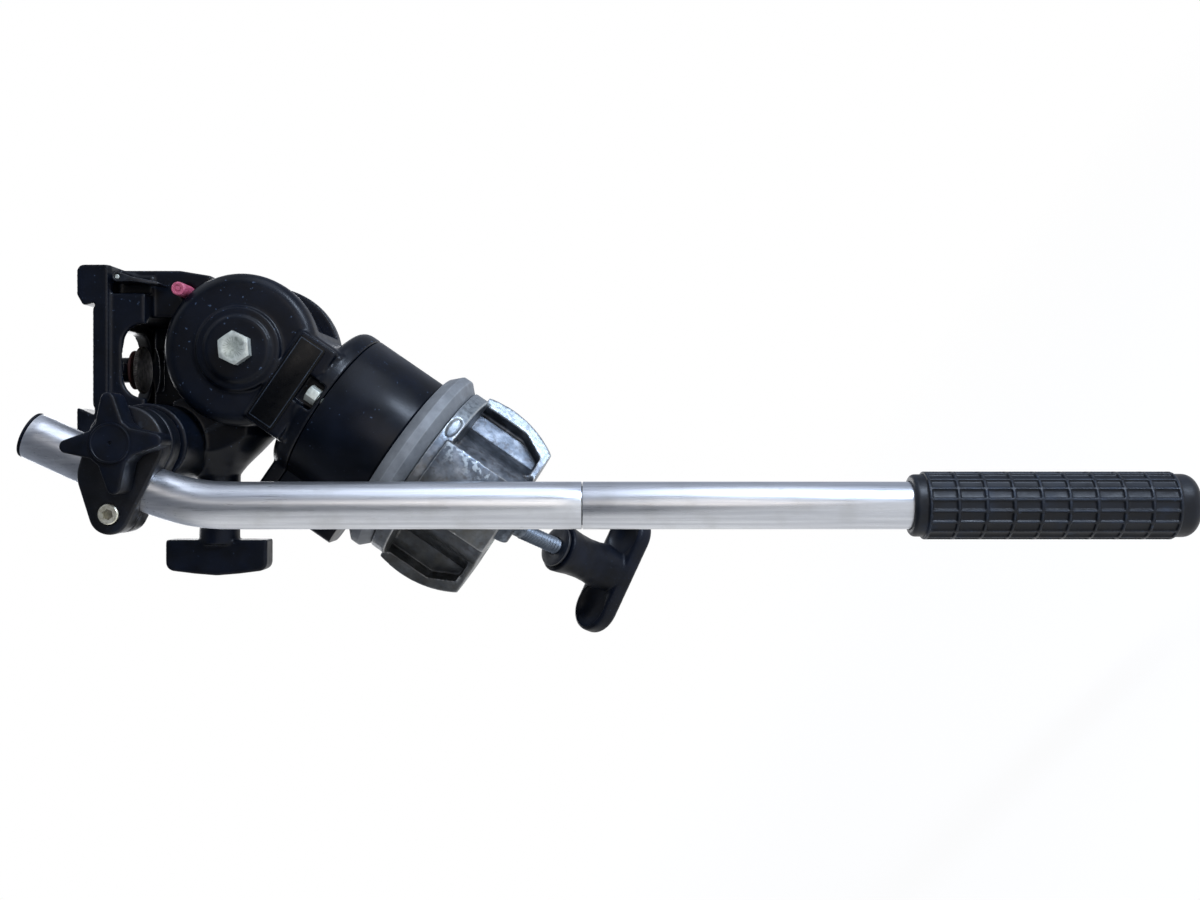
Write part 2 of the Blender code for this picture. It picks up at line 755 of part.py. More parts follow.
def make_housing(paint, steel, brass, felt, plastic, pan):
    groove_top = RING_TOP + SEAL_HEIGHT + 2 * GAP
    housing = turned(
        "pan_housing",
        [
            (HOUSING_RADIUS, HOUSING_TOP),
            (HOUSING_RADIUS, HOUSING_BOTTOM),
            (SEAL_OUTER + GAP, HOUSING_BOTTOM),
            (SEAL_OUTER + GAP, groove_top),
            (SEAL_INNER - GAP, groove_top),
            (SEAL_INNER - GAP, HOUSING_BOTTOM),
            (PAN_LIP_RADIUS, HOUSING_BOTTOM),
            (PAN_LIP_RADIUS, PAN_LIP_TOP),
            (HOUSING_BORE, PAN_LIP_TOP),
            (HOUSING_BORE, HOUSING_TOP),
        ],
        paint,
        pan,
    )
    height = HOUSING_TOP - EAR_BOTTOM
    join(housing, slab("ear", ear_outline(), height, parent=pan, at=(0, 0, EAR_BOTTOM + height / 2)))
    slot = block(
        "ear_slot",
        (-EAR_OUTER - OVERRUN, -EAR_SLOT / 2, groove_top + OVERRUN),
        (-HOUSING_BORE + OVERRUN, EAR_SLOT / 2, HOUSING_TOP + OVERRUN),
        parent=pan,
    )
    across = (-CLAMP_STUD_PLACE, 0, CLAMP_STUD_HEIGHT)
    face = EAR_WIDTH / 2
    hole = bore("clamp_hole", CLAMP_STUD_RADIUS + GAP, -face - OVERRUN, face + OVERRUN, pan, across, STAND)
    nut_floor = face - CLAMP_NUT_HEIGHT
    recess = hexagon_bar(
        "nut_recess",
        CLAMP_NUT_FLATS + 2 * GAP,
        nut_floor - GAP,
        face + OVERRUN,
        None,
        pan,
        across,
        STAND,
        math.pi / 6,
    )
    cut(housing, slot, hole, recess)
    flats = CLAMP_NUT_FLATS
    nut = hexagon_bar("pan_lock_nut", flats, nut_floor, face, steel, pan, across, STAND, math.pi / 6)
    cut(nut, bore("lock_nut_hole", CLAMP_STUD_RADIUS + GAP, 0, face + OVERRUN, pan, across, STAND))
    lip = SPINDLE_FLANGE_RADIUS + GAP
    bush = tube(lip, lip + PAN_BUSH_WALL, HOUSING_BOTTOM, PAN_LIP_TOP)
    turned("pan_bush", bush, brass, pan)
    low = PAN_LIP_TOP + GAP
    washer = tube(SPINDLE_RADIUS + GAP, HOUSING_BORE - GAP, low, low + THRUST_WASHER_HEIGHT)
    turned("pan_thrust_washer", washer, felt, pan, steps=SMALL_STEPS)
    lock = empty("pan_lock_axis", pan, (-CLAMP_STUD_PLACE, face, CLAMP_STUD_HEIGHT), (-math.pi / 2, 0, 0))
    stud_end = PAN_KNOB_STEM + PAN_KNOB_HEIGHT / 2
    stud = disc(CLAMP_STUD_RADIUS, -EAR_WIDTH + GAP, stud_end)
    turned("pan_lock_stud", stud, steel, lock, steps=TINY_STEPS)
    flutes = wave_outline(PAN_KNOB_RADIUS, PAN_KNOB_FLUTE_DEPTH, PAN_KNOB_FLUTES, 4)
    middle = GAP + PAN_KNOB_STEM + PAN_KNOB_HEIGHT / 2
    knob = slab("pan_lock_knob", flutes, PAN_KNOB_HEIGHT, plastic, lock)
    for vertex in knob.data.vertices:
        vertex.co.z += middle
    join(knob, bore("pan_knob_stem", PAN_KNOB_STEM_RADIUS, GAP, middle, lock))
    hole = CLAMP_STUD_RADIUS + GAP
    cut(knob, bore("pan_knob_hole", hole, -OVERRUN, stud_end + GAP, lock, steps=TINY_STEPS))
    return housing


# Fork casting


def make_fork(housing, paint, steel, label, pan):
    """The casting that joins the pan housing to the tilt axle."""
    axle = (0, 0, TILT_HEIGHT)
    step = CHEEK_FACE + STEP_HEIGHT
    boss = step + BOSS_HEIGHT
    rim = CHEEK_RADIUS - CHEEK_ROUNDING
    side = CHEEK_FACE - CHEEK_ROUNDING
    profile = [(0, boss), (BOSS_RADIUS, boss), (BOSS_RADIUS, step)]
    profile += [(STEP_RADIUS, step), (STEP_RADIUS, CHEEK_FACE)]
    profile += arc((rim, side), CHEEK_ROUNDING, math.pi / 2, 0, 2)
    profile += arc((rim, -side), CHEEK_ROUNDING, 0, -math.pi / 2, 2)
    fork = turned("fork_body", profile + [(0, -CHEEK_FACE)], paint, pan, axle, STAND)
    height = TILT_HEIGHT - (FORK_BOTTOM + FLANGE_TOP) / 2
    neck = slab(
        "neck",
        rounded_box(NECK_WIDTH, NECK_DEPTH, NECK_ROUNDING),
        height,
        parent=pan,
        at=(0, 0, TILT_HEIGHT - height / 2),
    )
    shoulder = (FLANGE_RADIUS - FLANGE_ROUNDING, FLANGE_TOP - FLANGE_ROUNDING)
    crown = [(0, FLANGE_TOP)] + arc(shoulder, FLANGE_ROUNDING, math.pi / 2, 0, 3)
    flange = turned("flange", crown + [(FLANGE_RADIUS, FORK_BOTTOM), (0, FORK_BOTTOM)], parent=pan)
    plug = disc(HOUSING_BORE - GAP, HOUSING_TOP - OVERRUN, FORK_BOTTOM + OVERRUN)
    spigot = turned("spigot", plug, parent=pan)
    height = FLANGE_TOP - FORK_BOTTOM - FLANGE_ROUNDING / 2
    ear = slab("fork_ear", ear_outline(), height, parent=pan, at=(0, 0, FORK_BOTTOM + height / 2))
    depth = PAD_FACE - NECK_DEPTH / 2 + OVERRUN
    pad = slab(
        "pad",
        rounded_box(PAD_WIDTH, PAD_HEIGHT, LABEL_CORNER),
        depth,
        parent=pan,
        at=(0, -PAD_FACE + depth / 2, PAD_PLACE),
        turn=STAND,
    )
    join(fork, neck, flange, spigot, ear, pad)
    top = FORK_BOTTOM + height
    outer = -EAR_OUTER - OVERRUN
    low = top - EAR_CHAMFER - OVERRUN
    inner = -EAR_OUTER + EAR_CHAMFER + OVERRUN
    corner = [(outer, low), (inner, top + OVERRUN), (outer, top + OVERRUN)]
    cut(fork, slab("ear_chamfer", corner, EAR_WIDTH + OVERRUN, parent=pan, turn=STAND))
    bay = arc((0, 0), BAY_RADIUS, math.pi / 2 - BAY_FRONT_END, -3 * math.pi / 2 - BAY_REAR_END, 8)
    for angle in (BAY_REAR_END, BAY_FRONT_END):
        foot = (BAY_REACH * math.sin(angle), BAY_REACH * math.cos(angle))
        head = (math.copysign(BAY_REACH, angle), BAY_REACH)
        bay += [foot, head] if angle < 0 else [head, foot]
    cut(fork, slab("hub_bay", bay, 2 * CHEEK_INNER, parent=pan, at=axle, turn=STAND))
    cut(fork, bore("axle_hole", AXLE_RADIUS + GAP, -boss - OVERRUN, boss + OVERRUN, pan, axle, STAND))
    floor = FORK_BOTTOM + NOTCH_FLOOR
    for name, side in (("near", -1), ("far", 1)):
        inner = side * (FLANGE_SCREW_CIRCLE - FLANGE_SCREW_FLATS / math.sqrt(3) - GAP)
        outer = side * (FLANGE_RADIUS + OVERRUN)
        left = FLANGE_SCREW_PLACE - NOTCH_WIDTH / 2
        low = (left, min(inner, outer), floor)
        high = (left + NOTCH_WIDTH, max(inner, outer), FLANGE_TOP + OVERRUN)
        cut(fork, block("notch", low, high, parent=pan))
        place = (FLANGE_SCREW_PLACE, side * FLANGE_SCREW_CIRCLE, 0)
        seat = floor + GAP
        tip = seat - FLANGE_SCREW_LENGTH
        hole = FLANGE_SCREW_RADIUS + GAP
        top = seat + OVERRUN
        cut(fork, bore("flange_hole", hole, FORK_BOTTOM - OVERRUN, top, pan, place, steps=TINY_STEPS))
        cut(housing, bore("flange_hole", hole, tip - GAP, top, pan, place, steps=TINY_STEPS))
        screw = hexagon_bar(
            f"flange_screw_{name}", FLANGE_SCREW_FLATS, seat, seat + FLANGE_SCREW_HEAD, steel, pan, place
        )
        join(screw, bore("flange_shank", FLANGE_SCREW_RADIUS, tip, top, pan, place, steps=TINY_STEPS))
    height = PAD_HEIGHT - NOTCH_FLOOR - 2 * LABEL_MARGIN
    plate = rounded_box(PAD_WIDTH - 2 * LABEL_MARGIN, height, LABEL_CORNER)
    raised = NOTCH_FLOOR / 2 + LABEL_MARGIN / 2
    slab(
        "label_plate",
        plate,
        LABEL_THICKNESS,
        label,
        pan,
        (0, -PAD_FACE - GAP - LABEL_THICKNESS / 2, PAD_PLACE + raised),
        STAND,
    )
    return fork


# Tilt axle with its bushes and drag discs


def make_axle(steel, brass, felt, pan, tilt):
    axle = (0, 0, TILT_HEIGHT)
    boss = CHEEK_FACE + STEP_HEIGHT + BOSS_HEIGHT
    seat = boss + GAP
    washer_end = -CHEEK_FACE - GAP - AXLE_WASHER
    nut_end = washer_end - GAP - AXLE_NUT
    bolt = hexagon_bar("tilt_bolt", AXLE_FLATS, seat, seat + AXLE_HEAD, steel, pan, axle, STAND, AXLE_TURN)
    join(bolt, bore("tilt_bolt_shank", AXLE_RADIUS, nut_end - AXLE_END, seat + OVERRUN, pan, axle, STAND))
    washer = tube(AXLE_RADIUS + GAP, AXLE_WASHER_RADIUS, washer_end, -CHEEK_FACE - GAP)
    turned("tilt_washer", washer, steel, pan, axle, STAND, SMALL_STEPS)
    nut = hexagon_bar("tilt_nut", AXLE_FLATS, nut_end, washer_end - GAP, steel, pan, axle, STAND)
    cut(nut, bore("tilt_nut_hole", AXLE_RADIUS + GAP, nut_end - OVERRUN, -CHEEK_FACE, pan, axle, STAND))
    inner = AXLE_RADIUS + GAP
    face = TILT_HUB_FACE
    for name, side in (("near", 1), ("far", -1)):
        low, high = sorted((side * face, side * (face - BUSH_LENGTH)))
        sleeve = tube(inner, inner + BUSH_WALL, low, high)
        turned(f"tilt_bush_{name}", sleeve, brass, tilt, turn=STAND, steps=SMALL_STEPS)
        low, high = sorted((side * (face + GAP), side * (face + GAP + DRAG_DISC_THICKNESS)))
        washer = tube(DRAG_DISC_INNER, DRAG_DISC_OUTER, low, high)
        turned(f"tilt_drag_disc_{name}", washer, felt, pan, axle, STAND, SMALL_STEPS)


# Tilting casting


def toothed_bar(name, radius, low, high, teeth_low, teeth_high, parent, at, turn):
    """A round bar whose ends carry radial teeth, a rosette that locks against its like."""
    form = bmesh.new()
    bmesh.ops.create_cone(
        form,
        cap_ends=True,
        cap_tris=True,
        segments=2 * TOOTH_COUNT,
        radius1=radius,
        radius2=radius,
        depth=high - low,
    )
    for vertex in form.verts:
        top = vertex.co.z > 0
        flat = teeth_high if top else teeth_low
        if flat and math.hypot(vertex.co.x, vertex.co.y) > radius / 2:
            tooth = round(math.atan2(vertex.co.y, vertex.co.x) * TOOTH_COUNT / math.pi)
            rise = TOOTH_HEIGHT / 2 * (-1) ** tooth
            vertex.co.z += rise if top else -rise
        vertex.co.z += (high + low) / 2
    mesh = bpy.data.meshes.new(name)
    form.to_mesh(mesh)
    form.free()
    return piece(name, mesh, None, parent, at, turn)


def carrier_outline():
    """The camera platform with its two hooks, seen from the near side."""
    corner = HOOK_TOP - HOOK_ROUNDING
    outline = [
        (-CARRIER_REAR, CARRIER_BOTTOM),
        (CARRIER_CHIN[0], CARRIER_BOTTOM),
        CARRIER_CHIN,
        (CARRIER_FRONT, CARRIER_CHEST),
    ]
    outline += arc((CARRIER_FRONT - HOOK_ROUNDING, corner), HOOK_ROUNDING, 0, math.pi / 2, 4)
    relief = PLATFORM_TOP - PLATFORM_RELIEF
    front = FRONT_HOOK_LIP[0] - PLATFORM_RELIEF
    rear = REAR_HOOK_LIP[0] + PLATFORM_RELIEF
    outline += [(FRONT_HOOK_EDGE, HOOK_TOP), FRONT_HOOK_LIP, (FRONT_HOOK_ROOT, relief)]
    outline += [(front, relief), (front, PLATFORM_TOP), (rear, PLATFORM_TOP), (rear, relief)]
    outline += [(-REAR_HOOK_ROOT, relief), REAR_HOOK_LIP, (REAR_HOOK_LIP[0], HOOK_TOP)]
    outline += [(-REAR_HOOK_BACK, HOOK_TOP), (-CARRIER_REAR, CARRIER_REAR_TOP)]
    return outline


def make_tilt_head(paint, tilt):
    head = slab("tilt_head", carrier_outline(), 2 * CARRIER_FACE, paint, tilt, ORIGIN, STAND)
    column = [
        (0, TILT_HUB_RADIUS / 2),
        COLUMN_TOE,
        (COLUMN_FRONT, COLUMN_SHOULDER),
        (COLUMN_FRONT, COLUMN_TOP),
        (-CARRIER_REAR + OVERRUN, COLUMN_TOP),
        (-CARRIER_REAR + OVERRUN, COLUMN_REAR_FOOT),
        COLUMN_HEEL,
    ]
    columns = slab("columns", column, 2 * TILT_HUB_FACE - GAP, parent=tilt, turn=STAND)
    hub = turned("hub", disc(TILT_HUB_RADIUS, -TILT_HUB_FACE, TILT_HUB_FACE), parent=tilt, turn=STAND)
    place = (CROSS_PLACE[0], 0, CROSS_PLACE[1])
    flat = CROSS_FACE - TOOTH_HEIGHT / 2
    cross = toothed_bar("cross_tube", CROSS_RADIUS, -flat, flat, True, True, tilt, place, STAND)
    boss_at = (0, 0, TILT_LOCK_HEIGHT)
    rear = (0, -math.pi / 2, 0)
    boss = bore("lock_boss", TILT_LOCK_RADIUS, TILT_HUB_RADIUS / 2, TILT_LOCK_FACE, tilt, boss_at, rear)
    join(head, columns, hub, cross, boss)
    under = PLATFORM_TOP - PLATFORM_THICKNESS
    size = (CAVITY_FRONT + CAVITY_REAR, 2 * CAVITY_FACE)
    cavity = slab(
        "cavity",
        rounded_box(*size, CAVITY_ROUNDING),
        under - CAVITY_BOTTOM,
        parent=tilt,
        at=((CAVITY_FRONT - CAVITY_REAR) / 2, 0, (under + CAVITY_BOTTOM) / 2),
    )
    window_at = (WINDOW_PLACE[0], 0, WINDOW_PLACE[1])
    reach = CARRIER_FACE + OVERRUN
    window = bore("window", WINDOW_RADIUS, -reach, reach, tilt, window_at, STAND, ROUND_STEPS)
    lever_bay = block(
        "lever_bay",
        (LEVER_BAY_REAR, -reach, CARRIER_BOTTOM - OVERRUN),
        (CARRIER_FRONT + OVERRUN, -LEVER_BAY_FACE, LEVER_BAY_TOP),
        parent=tilt,
    )
    pin_at = (LEVER_PIVOT[0], 0, LEVER_PIVOT[1])
    pin_end = LEVER_BAY_FACE - LEVER_EYE_RADIUS - GAP
    pin_hole = bore("lever_pin_hole", LEVER_PIN_RADIUS + GAP, pin_end, reach, tilt, pin_at, STAND, TINY_STEPS)
    safety_at = (SAFETY_PLACE[0], 0, SAFETY_PLACE[1])
    inner = SAFETY_FACE - SAFETY_TRAVEL - 2 * SAFETY_HEAD - SAFETY_STEM / 2 - GAP
    safety = bore("safety_hole", SAFETY_RADIUS + GAP, inner, reach, tilt, safety_at, STAND, TINY_STEPS)
    screw_at = (SCREW_PLACE, 0, 0)
    screw = bore("screw_hole", SCREW_RADIUS + GAP, under - OVERRUN, HOOK_TOP, tilt, screw_at)
    wide = LOCK_SCREW_RADIUS + GAP
    lock = bore("lock_hole", wide, SHOE_END - GAP, TILT_LOCK_FACE + OVERRUN, tilt, boss_at, rear)
    seat = AXLE_RADIUS + BUSH_WALL + 2 * GAP
    narrow = AXLE_RADIUS + 2 * GAP
    deep = TILT_HUB_FACE - BUSH_LENGTH - GAP
    open_end = TILT_HUB_FACE + OVERRUN
    steps = [(0, open_end), (seat, open_end), (seat, deep), (narrow, deep)]
    steps += [(narrow, -deep), (seat, -deep), (seat, -open_end), (0, -open_end)]
    axle = turned("axle_seat", steps, parent=tilt, turn=STAND, steps=SMALL_STEPS)
    cut(head, cavity, window, lever_bay, pin_hole, safety, screw, lock, axle)
    for side in (-1, 1):
        deep = side * STUD_END
        mouth = side * (CROSS_FACE + OVERRUN)
        cut(head, bore("stud_hole", STUD_RADIUS + GAP, deep, mouth, tilt, place, STAND))
    use_manifold(head)
    return head


# Small moving pieces of the tilting side


def make_camera_screw(steel, fibre, tilt):
    """The screw that holds the camera plate, captive under the platform with a fibre washer."""
    axis = empty("camera_screw_axis", tilt, (SCREW_PLACE, 0, 0))
    top = PLATFORM_TOP + SCREW_STAND
    disc_top = SCREW_DISC_BOTTOM + SCREW_DISC_THICKNESS
    tip = SCREW_RADIUS / 4
    profile = [
        (0, top),
        (SCREW_RADIUS - tip, top),
        (SCREW_RADIUS, top - tip),
        (SCREW_RADIUS, disc_top),
        (SCREW_DISC_RADIUS, disc_top),
        (SCREW_DISC_RADIUS, SCREW_DISC_BOTTOM),
        (0, SCREW_DISC_BOTTOM),
    ]
    turned("camera_screw", profile, steel, axis, steps=2 * TINY_STEPS)
    low = disc_top + GAP
    washer = tube(SCREW_RADIUS + GAP, SCREW_WASHER_RADIUS, low, low + SCREW_WASHER_THICKNESS)
    turned("camera_screw_washer", washer, fibre, axis, steps=SMALL_STEPS)


def make_lever(paint, steel, tilt):
    axis = empty("lever_axis", tilt, (LEVER_PIVOT[0], 0, LEVER_PIVOT[1]))
    tip = (LEVER_TIP[0] - LEVER_PIVOT[0], LEVER_TIP[1] - LEVER_PIVOT[1])
    outline = round_about([(0, 0, LEVER_EYE_RADIUS), (*tip, LEVER_THICKNESS / 2)], TINY_STEPS)
    middle = -(LEVER_NEAR + LEVER_FAR) / 2
    lever = slab("plate_lock_lever", outline, LEVER_NEAR - LEVER_FAR, paint, axis, (0, middle, 0), STAND)
    mouth = LEVER_NEAR + OVERRUN
    cut(lever, bore("lever_eye", LEVER_PIN_RADIUS + GAP, 0, mouth, axis, turn=STAND, steps=TINY_STEPS))
    deep = LEVER_BAY_FACE - LEVER_EYE_RADIUS
    turned("lever_pin", disc(LEVER_PIN_RADIUS, deep, LEVER_NEAR), steel, axis, turn=STAND, steps=TINY_STEPS)


def make_safety_pin(red, steel, tilt):
    """The red pin that is pressed in to free the plate, on a coil spring."""
    axis = empty("safety_axis", tilt, (SAFETY_PLACE[0], 0, SAFETY_PLACE[1]), STAND)
    shoulder = SAFETY_FACE - 2 * SAFETY_HEAD
    edge = SAFETY_RADIUS / 4
    stem_end = shoulder - SAFETY_STEM / 2
    profile = [
        (0, SAFETY_FACE),
        (SAFETY_RADIUS - edge, SAFETY_FACE),
        (SAFETY_RADIUS, SAFETY_FACE - edge),
        (SAFETY_RADIUS, shoulder),
        (SAFETY_STEM_RADIUS, shoulder),
        (SAFETY_STEM_RADIUS, stem_end),
        (0, stem_end),
    ]
    turned("safety_pin", profile, red, axis, steps=TINY_STEPS)
    top = shoulder - GAP - SPRING_WIRE
    bottom = stem_end - SAFETY_TRAVEL + GAP + SPRING_WIRE
    radius = (SAFETY_STEM_RADIUS + SAFETY_RADIUS) / 2
    count = SPRING_TURNS * SPRING_POINTS
    route = []
    for i in range(count + 1):
        around = polar(FULL_TURN * i / SPRING_POINTS, radius)
        route.append((*around, bottom + (top - bottom) * i / count))
    rod("safety_spring", route, SPRING_WIRE, steel, axis, 1)


def make_tilt_lock(plastic, brass, tilt):
    axis = empty("tilt_lock_axis", tilt, (-TILT_LOCK_FACE, 0, TILT_LOCK_HEIGHT), (0, -math.pi / 2, 0))
    corner = PADDLE_CORNER
    outer = LOCK_STEM + PADDLE_DEPTH
    outline = [(-PADDLE_HALF_WIDTH, LOCK_STEM), (PADDLE_HALF_WIDTH, LOCK_STEM)]
    outline += arc((PADDLE_HALF_WIDTH - corner, outer - corner - PADDLE_BOW), corner, 0, math.pi / 2, 4)
    outline += [(0, outer)]
    outline += arc((corner - PADDLE_HALF_WIDTH, outer - corner - PADDLE_BOW), corner, math.pi / 2, math.pi, 4)
    knob = slab("tilt_lock_knob", outline, PADDLE_THICKNESS, plastic, axis, turn=STAND)
    bevel(knob, PADDLE_CORNER / 2, 1)
    stem = bore("lock_stem", LOCK_STEM_RADIUS, GAP, LOCK_STEM + OVERRUN, axis)
    start = LOCK_SCREW_END - TILT_LOCK_FACE
    screw = bore("lock_screw", LOCK_SCREW_RADIUS, start, LOCK_STEM, axis, steps=TINY_STEPS)
    join(knob, stem, screw)
    low = SHOE_END - TILT_LOCK_FACE
    shoe = disc(LOCK_SCREW_RADIUS, low, low + LOCK_SHOE_LENGTH)
    turned("tilt_lock_shoe", shoe, brass, axis, steps=TINY_STEPS)


# Bar clamp and star knob


def star_outline():
    """Narrow arms with round tips, drawn in to a waist between them."""
    outline = []
    pitch = FULL_TURN / STAR_POINTS
    for k in range(STAR_POINTS):
        along = STAR_TURN + pitch * k
        middle = polar(along, STAR_RADIUS - STAR_TIP)
        outline += arc(middle, STAR_TIP, along - STAR_TIP_SWEEP, along + STAR_TIP_SWEEP, 4)
        waist = along + pitch / 2
        share = pitch * STAR_VALLEY_SHARE
        outline += arc((0, 0), STAR_VALLEY, waist - share, waist + share, 3)
    return outline


def make_clamp(paint, plastic, steel, rosette, bar):
    """Two halves round the bar, the back one with rosette teeth, drawn together by the star knob."""
    middle = BAR_START + BAR_DIRECTION * CLAMP_REACH
    outline = round_about(
        [
            (*CROSS_PLACE, CLAMP_SHOULDER),
            (middle.x, middle.z, CLAMP_SADDLE),
            (*CLAMP_SCREW_PLACE, CLAMP_TOE),
        ]
    )
    along = (0, BAR_SLOPE, 0)
    stud_at = (CROSS_PLACE[0], 0, CROSS_PLACE[1])
    screw_at = (CLAMP_SCREW_PLACE[0], 0, CLAMP_SCREW_PLACE[1])
    sink = CLAMP_FRONT_FACE - CLAMP_SCREW_SINK
    end = CLAMP_BACK_FACE + CLAMP_SCREW_RADIUS / 2
    halves = (
        ("clamp_back", CLAMP_BACK_FACE, BAR_PLANE - CLAMP_SPLIT / 2),
        ("clamp_front", BAR_PLANE + CLAMP_SPLIT / 2, CLAMP_FRONT_FACE),
    )
    for name, low, high in halves:
        half = slab(name, outline, high - low, paint, bar, (0, -(low + high) / 2, 0), STAND)
        if name == "clamp_back":
            crest = CROSS_FACE + GAP + TOOTH_HEIGHT / 2
            root = (crest + high) / 2
            teeth = toothed_bar("rosette", ROSETTE_RADIUS, crest, root, True, False, bar, stud_at, STAND)
            join(half, teeth)
        reach = BAR_STRAIGHT
        cut(half, bore("groove", BAR_RADIUS + GAP, -reach, reach, bar, middle, along, ROUND_STEPS))
        cut(half, bore("stud_hole", STUD_RADIUS + GAP, CROSS_FACE, high + OVERRUN, bar, stud_at, STAND))
        start = max(low - OVERRUN, end - GAP)
        hole = CLAMP_SCREW_RADIUS + GAP
        cut(half, bore("screw_hole", hole, start, high + OVERRUN, bar, screw_at, STAND, TINY_STEPS))
        if name == "clamp_front":
            wide = CLAMP_SCREW_HEAD_RADIUS + GAP
            cut(half, bore("head_sink", wide, sink, high + OVERRUN, bar, screw_at, STAND))
    head = sink + GAP + CLAMP_SCREW_HEAD
    profile = [
        (0, head),
        (CLAMP_SCREW_HEAD_RADIUS, head),
        (CLAMP_SCREW_HEAD_RADIUS, sink + GAP),
        (CLAMP_SCREW_RADIUS, sink + GAP),
        (CLAMP_SCREW_RADIUS, end),
        (0, end),
    ]
    screw = turned("clamp_screw", profile, steel, bar, screw_at, STAND, SMALL_STEPS)
    socket = hexagon_bar(
        "socket", CLAMP_SCREW_SOCKET, head - CLAMP_SCREW_HEAD / 2, head + OVERRUN, None, bar, screw_at, STAND
    )
    cut(screw, socket)
    star_low = CLAMP_FRONT_FACE + GAP + STAR_HUB
    star_high = star_low + STAR_THICKNESS
    middle = (0, -(star_low + star_high) / 2, 0)
    star = slab("star_knob", star_outline(), STAR_THICKNESS, plastic, rosette, middle, STAND)
    bevel(star, STAR_EDGE, 1, STAR_BEVEL_ANGLE)
    low = CLAMP_FRONT_FACE + GAP
    hub = bore("star_hub", STAR_VALLEY - STAR_HUB, low, star_high - STAR_HUB, rosette, turn=STAND)
    cap = bore("star_cap", STAR_CAP_RADIUS, star_low + STAR_HUB, star_high + STAR_CAP, rosette, turn=STAND)
    join(star, hub, cap)
    stud_top = star_high - STAR_HUB
    cut(star, bore("star_hole", STUD_RADIUS + GAP, CLAMP_FRONT_FACE, stud_top + GAP, rosette, turn=STAND))
    stud = disc(STUD_RADIUS, STUD_END + GAP, stud_top)
    turned("star_stud", stud, steel, rosette, turn=STAND, steps=TINY_STEPS)


# Pan bar


def make_bar(alloy, rubber, plastic, steel, bar):
    """A bent lower tube and a straight upper tube, joined by a threaded sleeve, with a rubber grip."""
    down = Vector((0, 0, -1))
    seam = Vector((BEND_CORNER.x, -BAR_PLANE, SEAM_HEIGHT))
    bend_end = BEND_CORNER + down * BEND_REACH
    hinge = bend_end + Vector((BAR_BEND, 0, 0))
    bend = []
    for i in range(BEND_STEPS + 1):
        angle = BAR_SLOPE * (1 - i / BEND_STEPS)
        bend.append(hinge + Vector((-BAR_BEND * math.cos(angle), 0, BAR_BEND * math.sin(angle))))
    lower_end = seam - down * GAP / 2
    lower = rod("bar_lower", [BAR_START] + bend + [lower_end], BAR_RADIUS, alloy, bar, 8)
    inner = BAR_RADIUS - BAR_WALL
    route = [BAR_START - BAR_DIRECTION * OVERRUN] + bend + [lower_end + down * OVERRUN]
    cut(lower, rod("lower_bore", route, inner, parent=bar, sides=8))
    at = (BEND_CORNER.x, -BAR_PLANE, 0)
    top = SEAM_HEIGHT - GAP / 2
    grip_end = GRIP_START - GRIP_LENGTH
    bottom = grip_end + GRIP_END_WALL + GAP
    turned("bar_upper", tube(inner, BAR_RADIUS, bottom, top), alloy, bar, at, steps=SMALL_STEPS)
    half = COUPLER_LENGTH / 2
    sleeve = tube(COUPLER_BORE, inner - GAP, SEAM_HEIGHT - half, SEAM_HEIGHT + half)
    turned("bar_coupler", sleeve, steel, bar, at, steps=SMALL_STEPS)
    outward = (0, BAR_SLOPE, 0)
    edge = PLUG_RIM / 2
    profile = [
        (0, GAP + PLUG_RIM),
        (BAR_RADIUS - edge, GAP + PLUG_RIM),
        (BAR_RADIUS, GAP + edge),
        (BAR_RADIUS, GAP),
        (inner - GAP, GAP),
        (inner - GAP, -PLUG_DEPTH),
        (0, -PLUG_DEPTH),
    ]
    turned("bar_end_plug", profile, plastic, bar, BAR_START, outward, SMALL_STEPS)
    make_grip(rubber, bar, at, grip_end)


def make_grip(rubber, bar, at, grip_end):
    """The gridded grip: rows of shallow cells pressed into a round sleeve with a collar and a nose."""
    length = GRIP_ROWS * GRIP_PITCH
    top = GRIP_START - GRIP_COLLAR
    form = bmesh.new()
    bmesh.ops.create_cone(
        form, cap_ends=True, segments=GRIP_CELLS, radius1=GRIP_RADIUS, radius2=GRIP_RADIUS, depth=length
    )
    for k in range(1, GRIP_ROWS):
        everything = form.verts[:] + form.edges[:] + form.faces[:]
        height = k * GRIP_PITCH - length / 2
        bmesh.ops.bisect_plane(form, geom=everything, plane_co=(0, 0, height), plane_no=(0, 0, 1))
    cells = [face for face in form.faces if abs(face.normal.z) < abs(face.normal.x) + abs(face.normal.y)]
    bmesh.ops.inset_individual(form, faces=cells, thickness=GRIP_RIDGE / 2, depth=-GRIP_RIDGE_HEIGHT)
    for vertex in form.verts:
        vertex.co.z += top - length / 2
    mesh = bpy.data.meshes.new("bar_grip")
    form.to_mesh(mesh)
    form.free()
    grip = piece("bar_grip", mesh, rubber, bar, at)
    collar = bore("grip_collar", GRIP_COLLAR_RADIUS, top - OVERRUN, GRIP_START, bar, at)
    rim = GRIP_RADIUS - GRIP_RIDGE_HEIGHT
    foot = top - length + OVERRUN
    sweep = arc((rim - GRIP_NOSE, grip_end + GRIP_NOSE), GRIP_NOSE, 0, -math.pi / 2, 4)
    profile = [(0, foot), (rim, foot)] + sweep + [(0, grip_end)]
    nose = turned("grip_nose", profile, parent=bar, at=at, steps=SMALL_STEPS)
    join(grip, collar, nose)
    floor = grip_end + GRIP_END_WALL
    cut(grip, bore("grip_bore", BAR_RADIUS + GAP, floor, GRIP_START + OVERRUN, bar, at))


# Tie-down


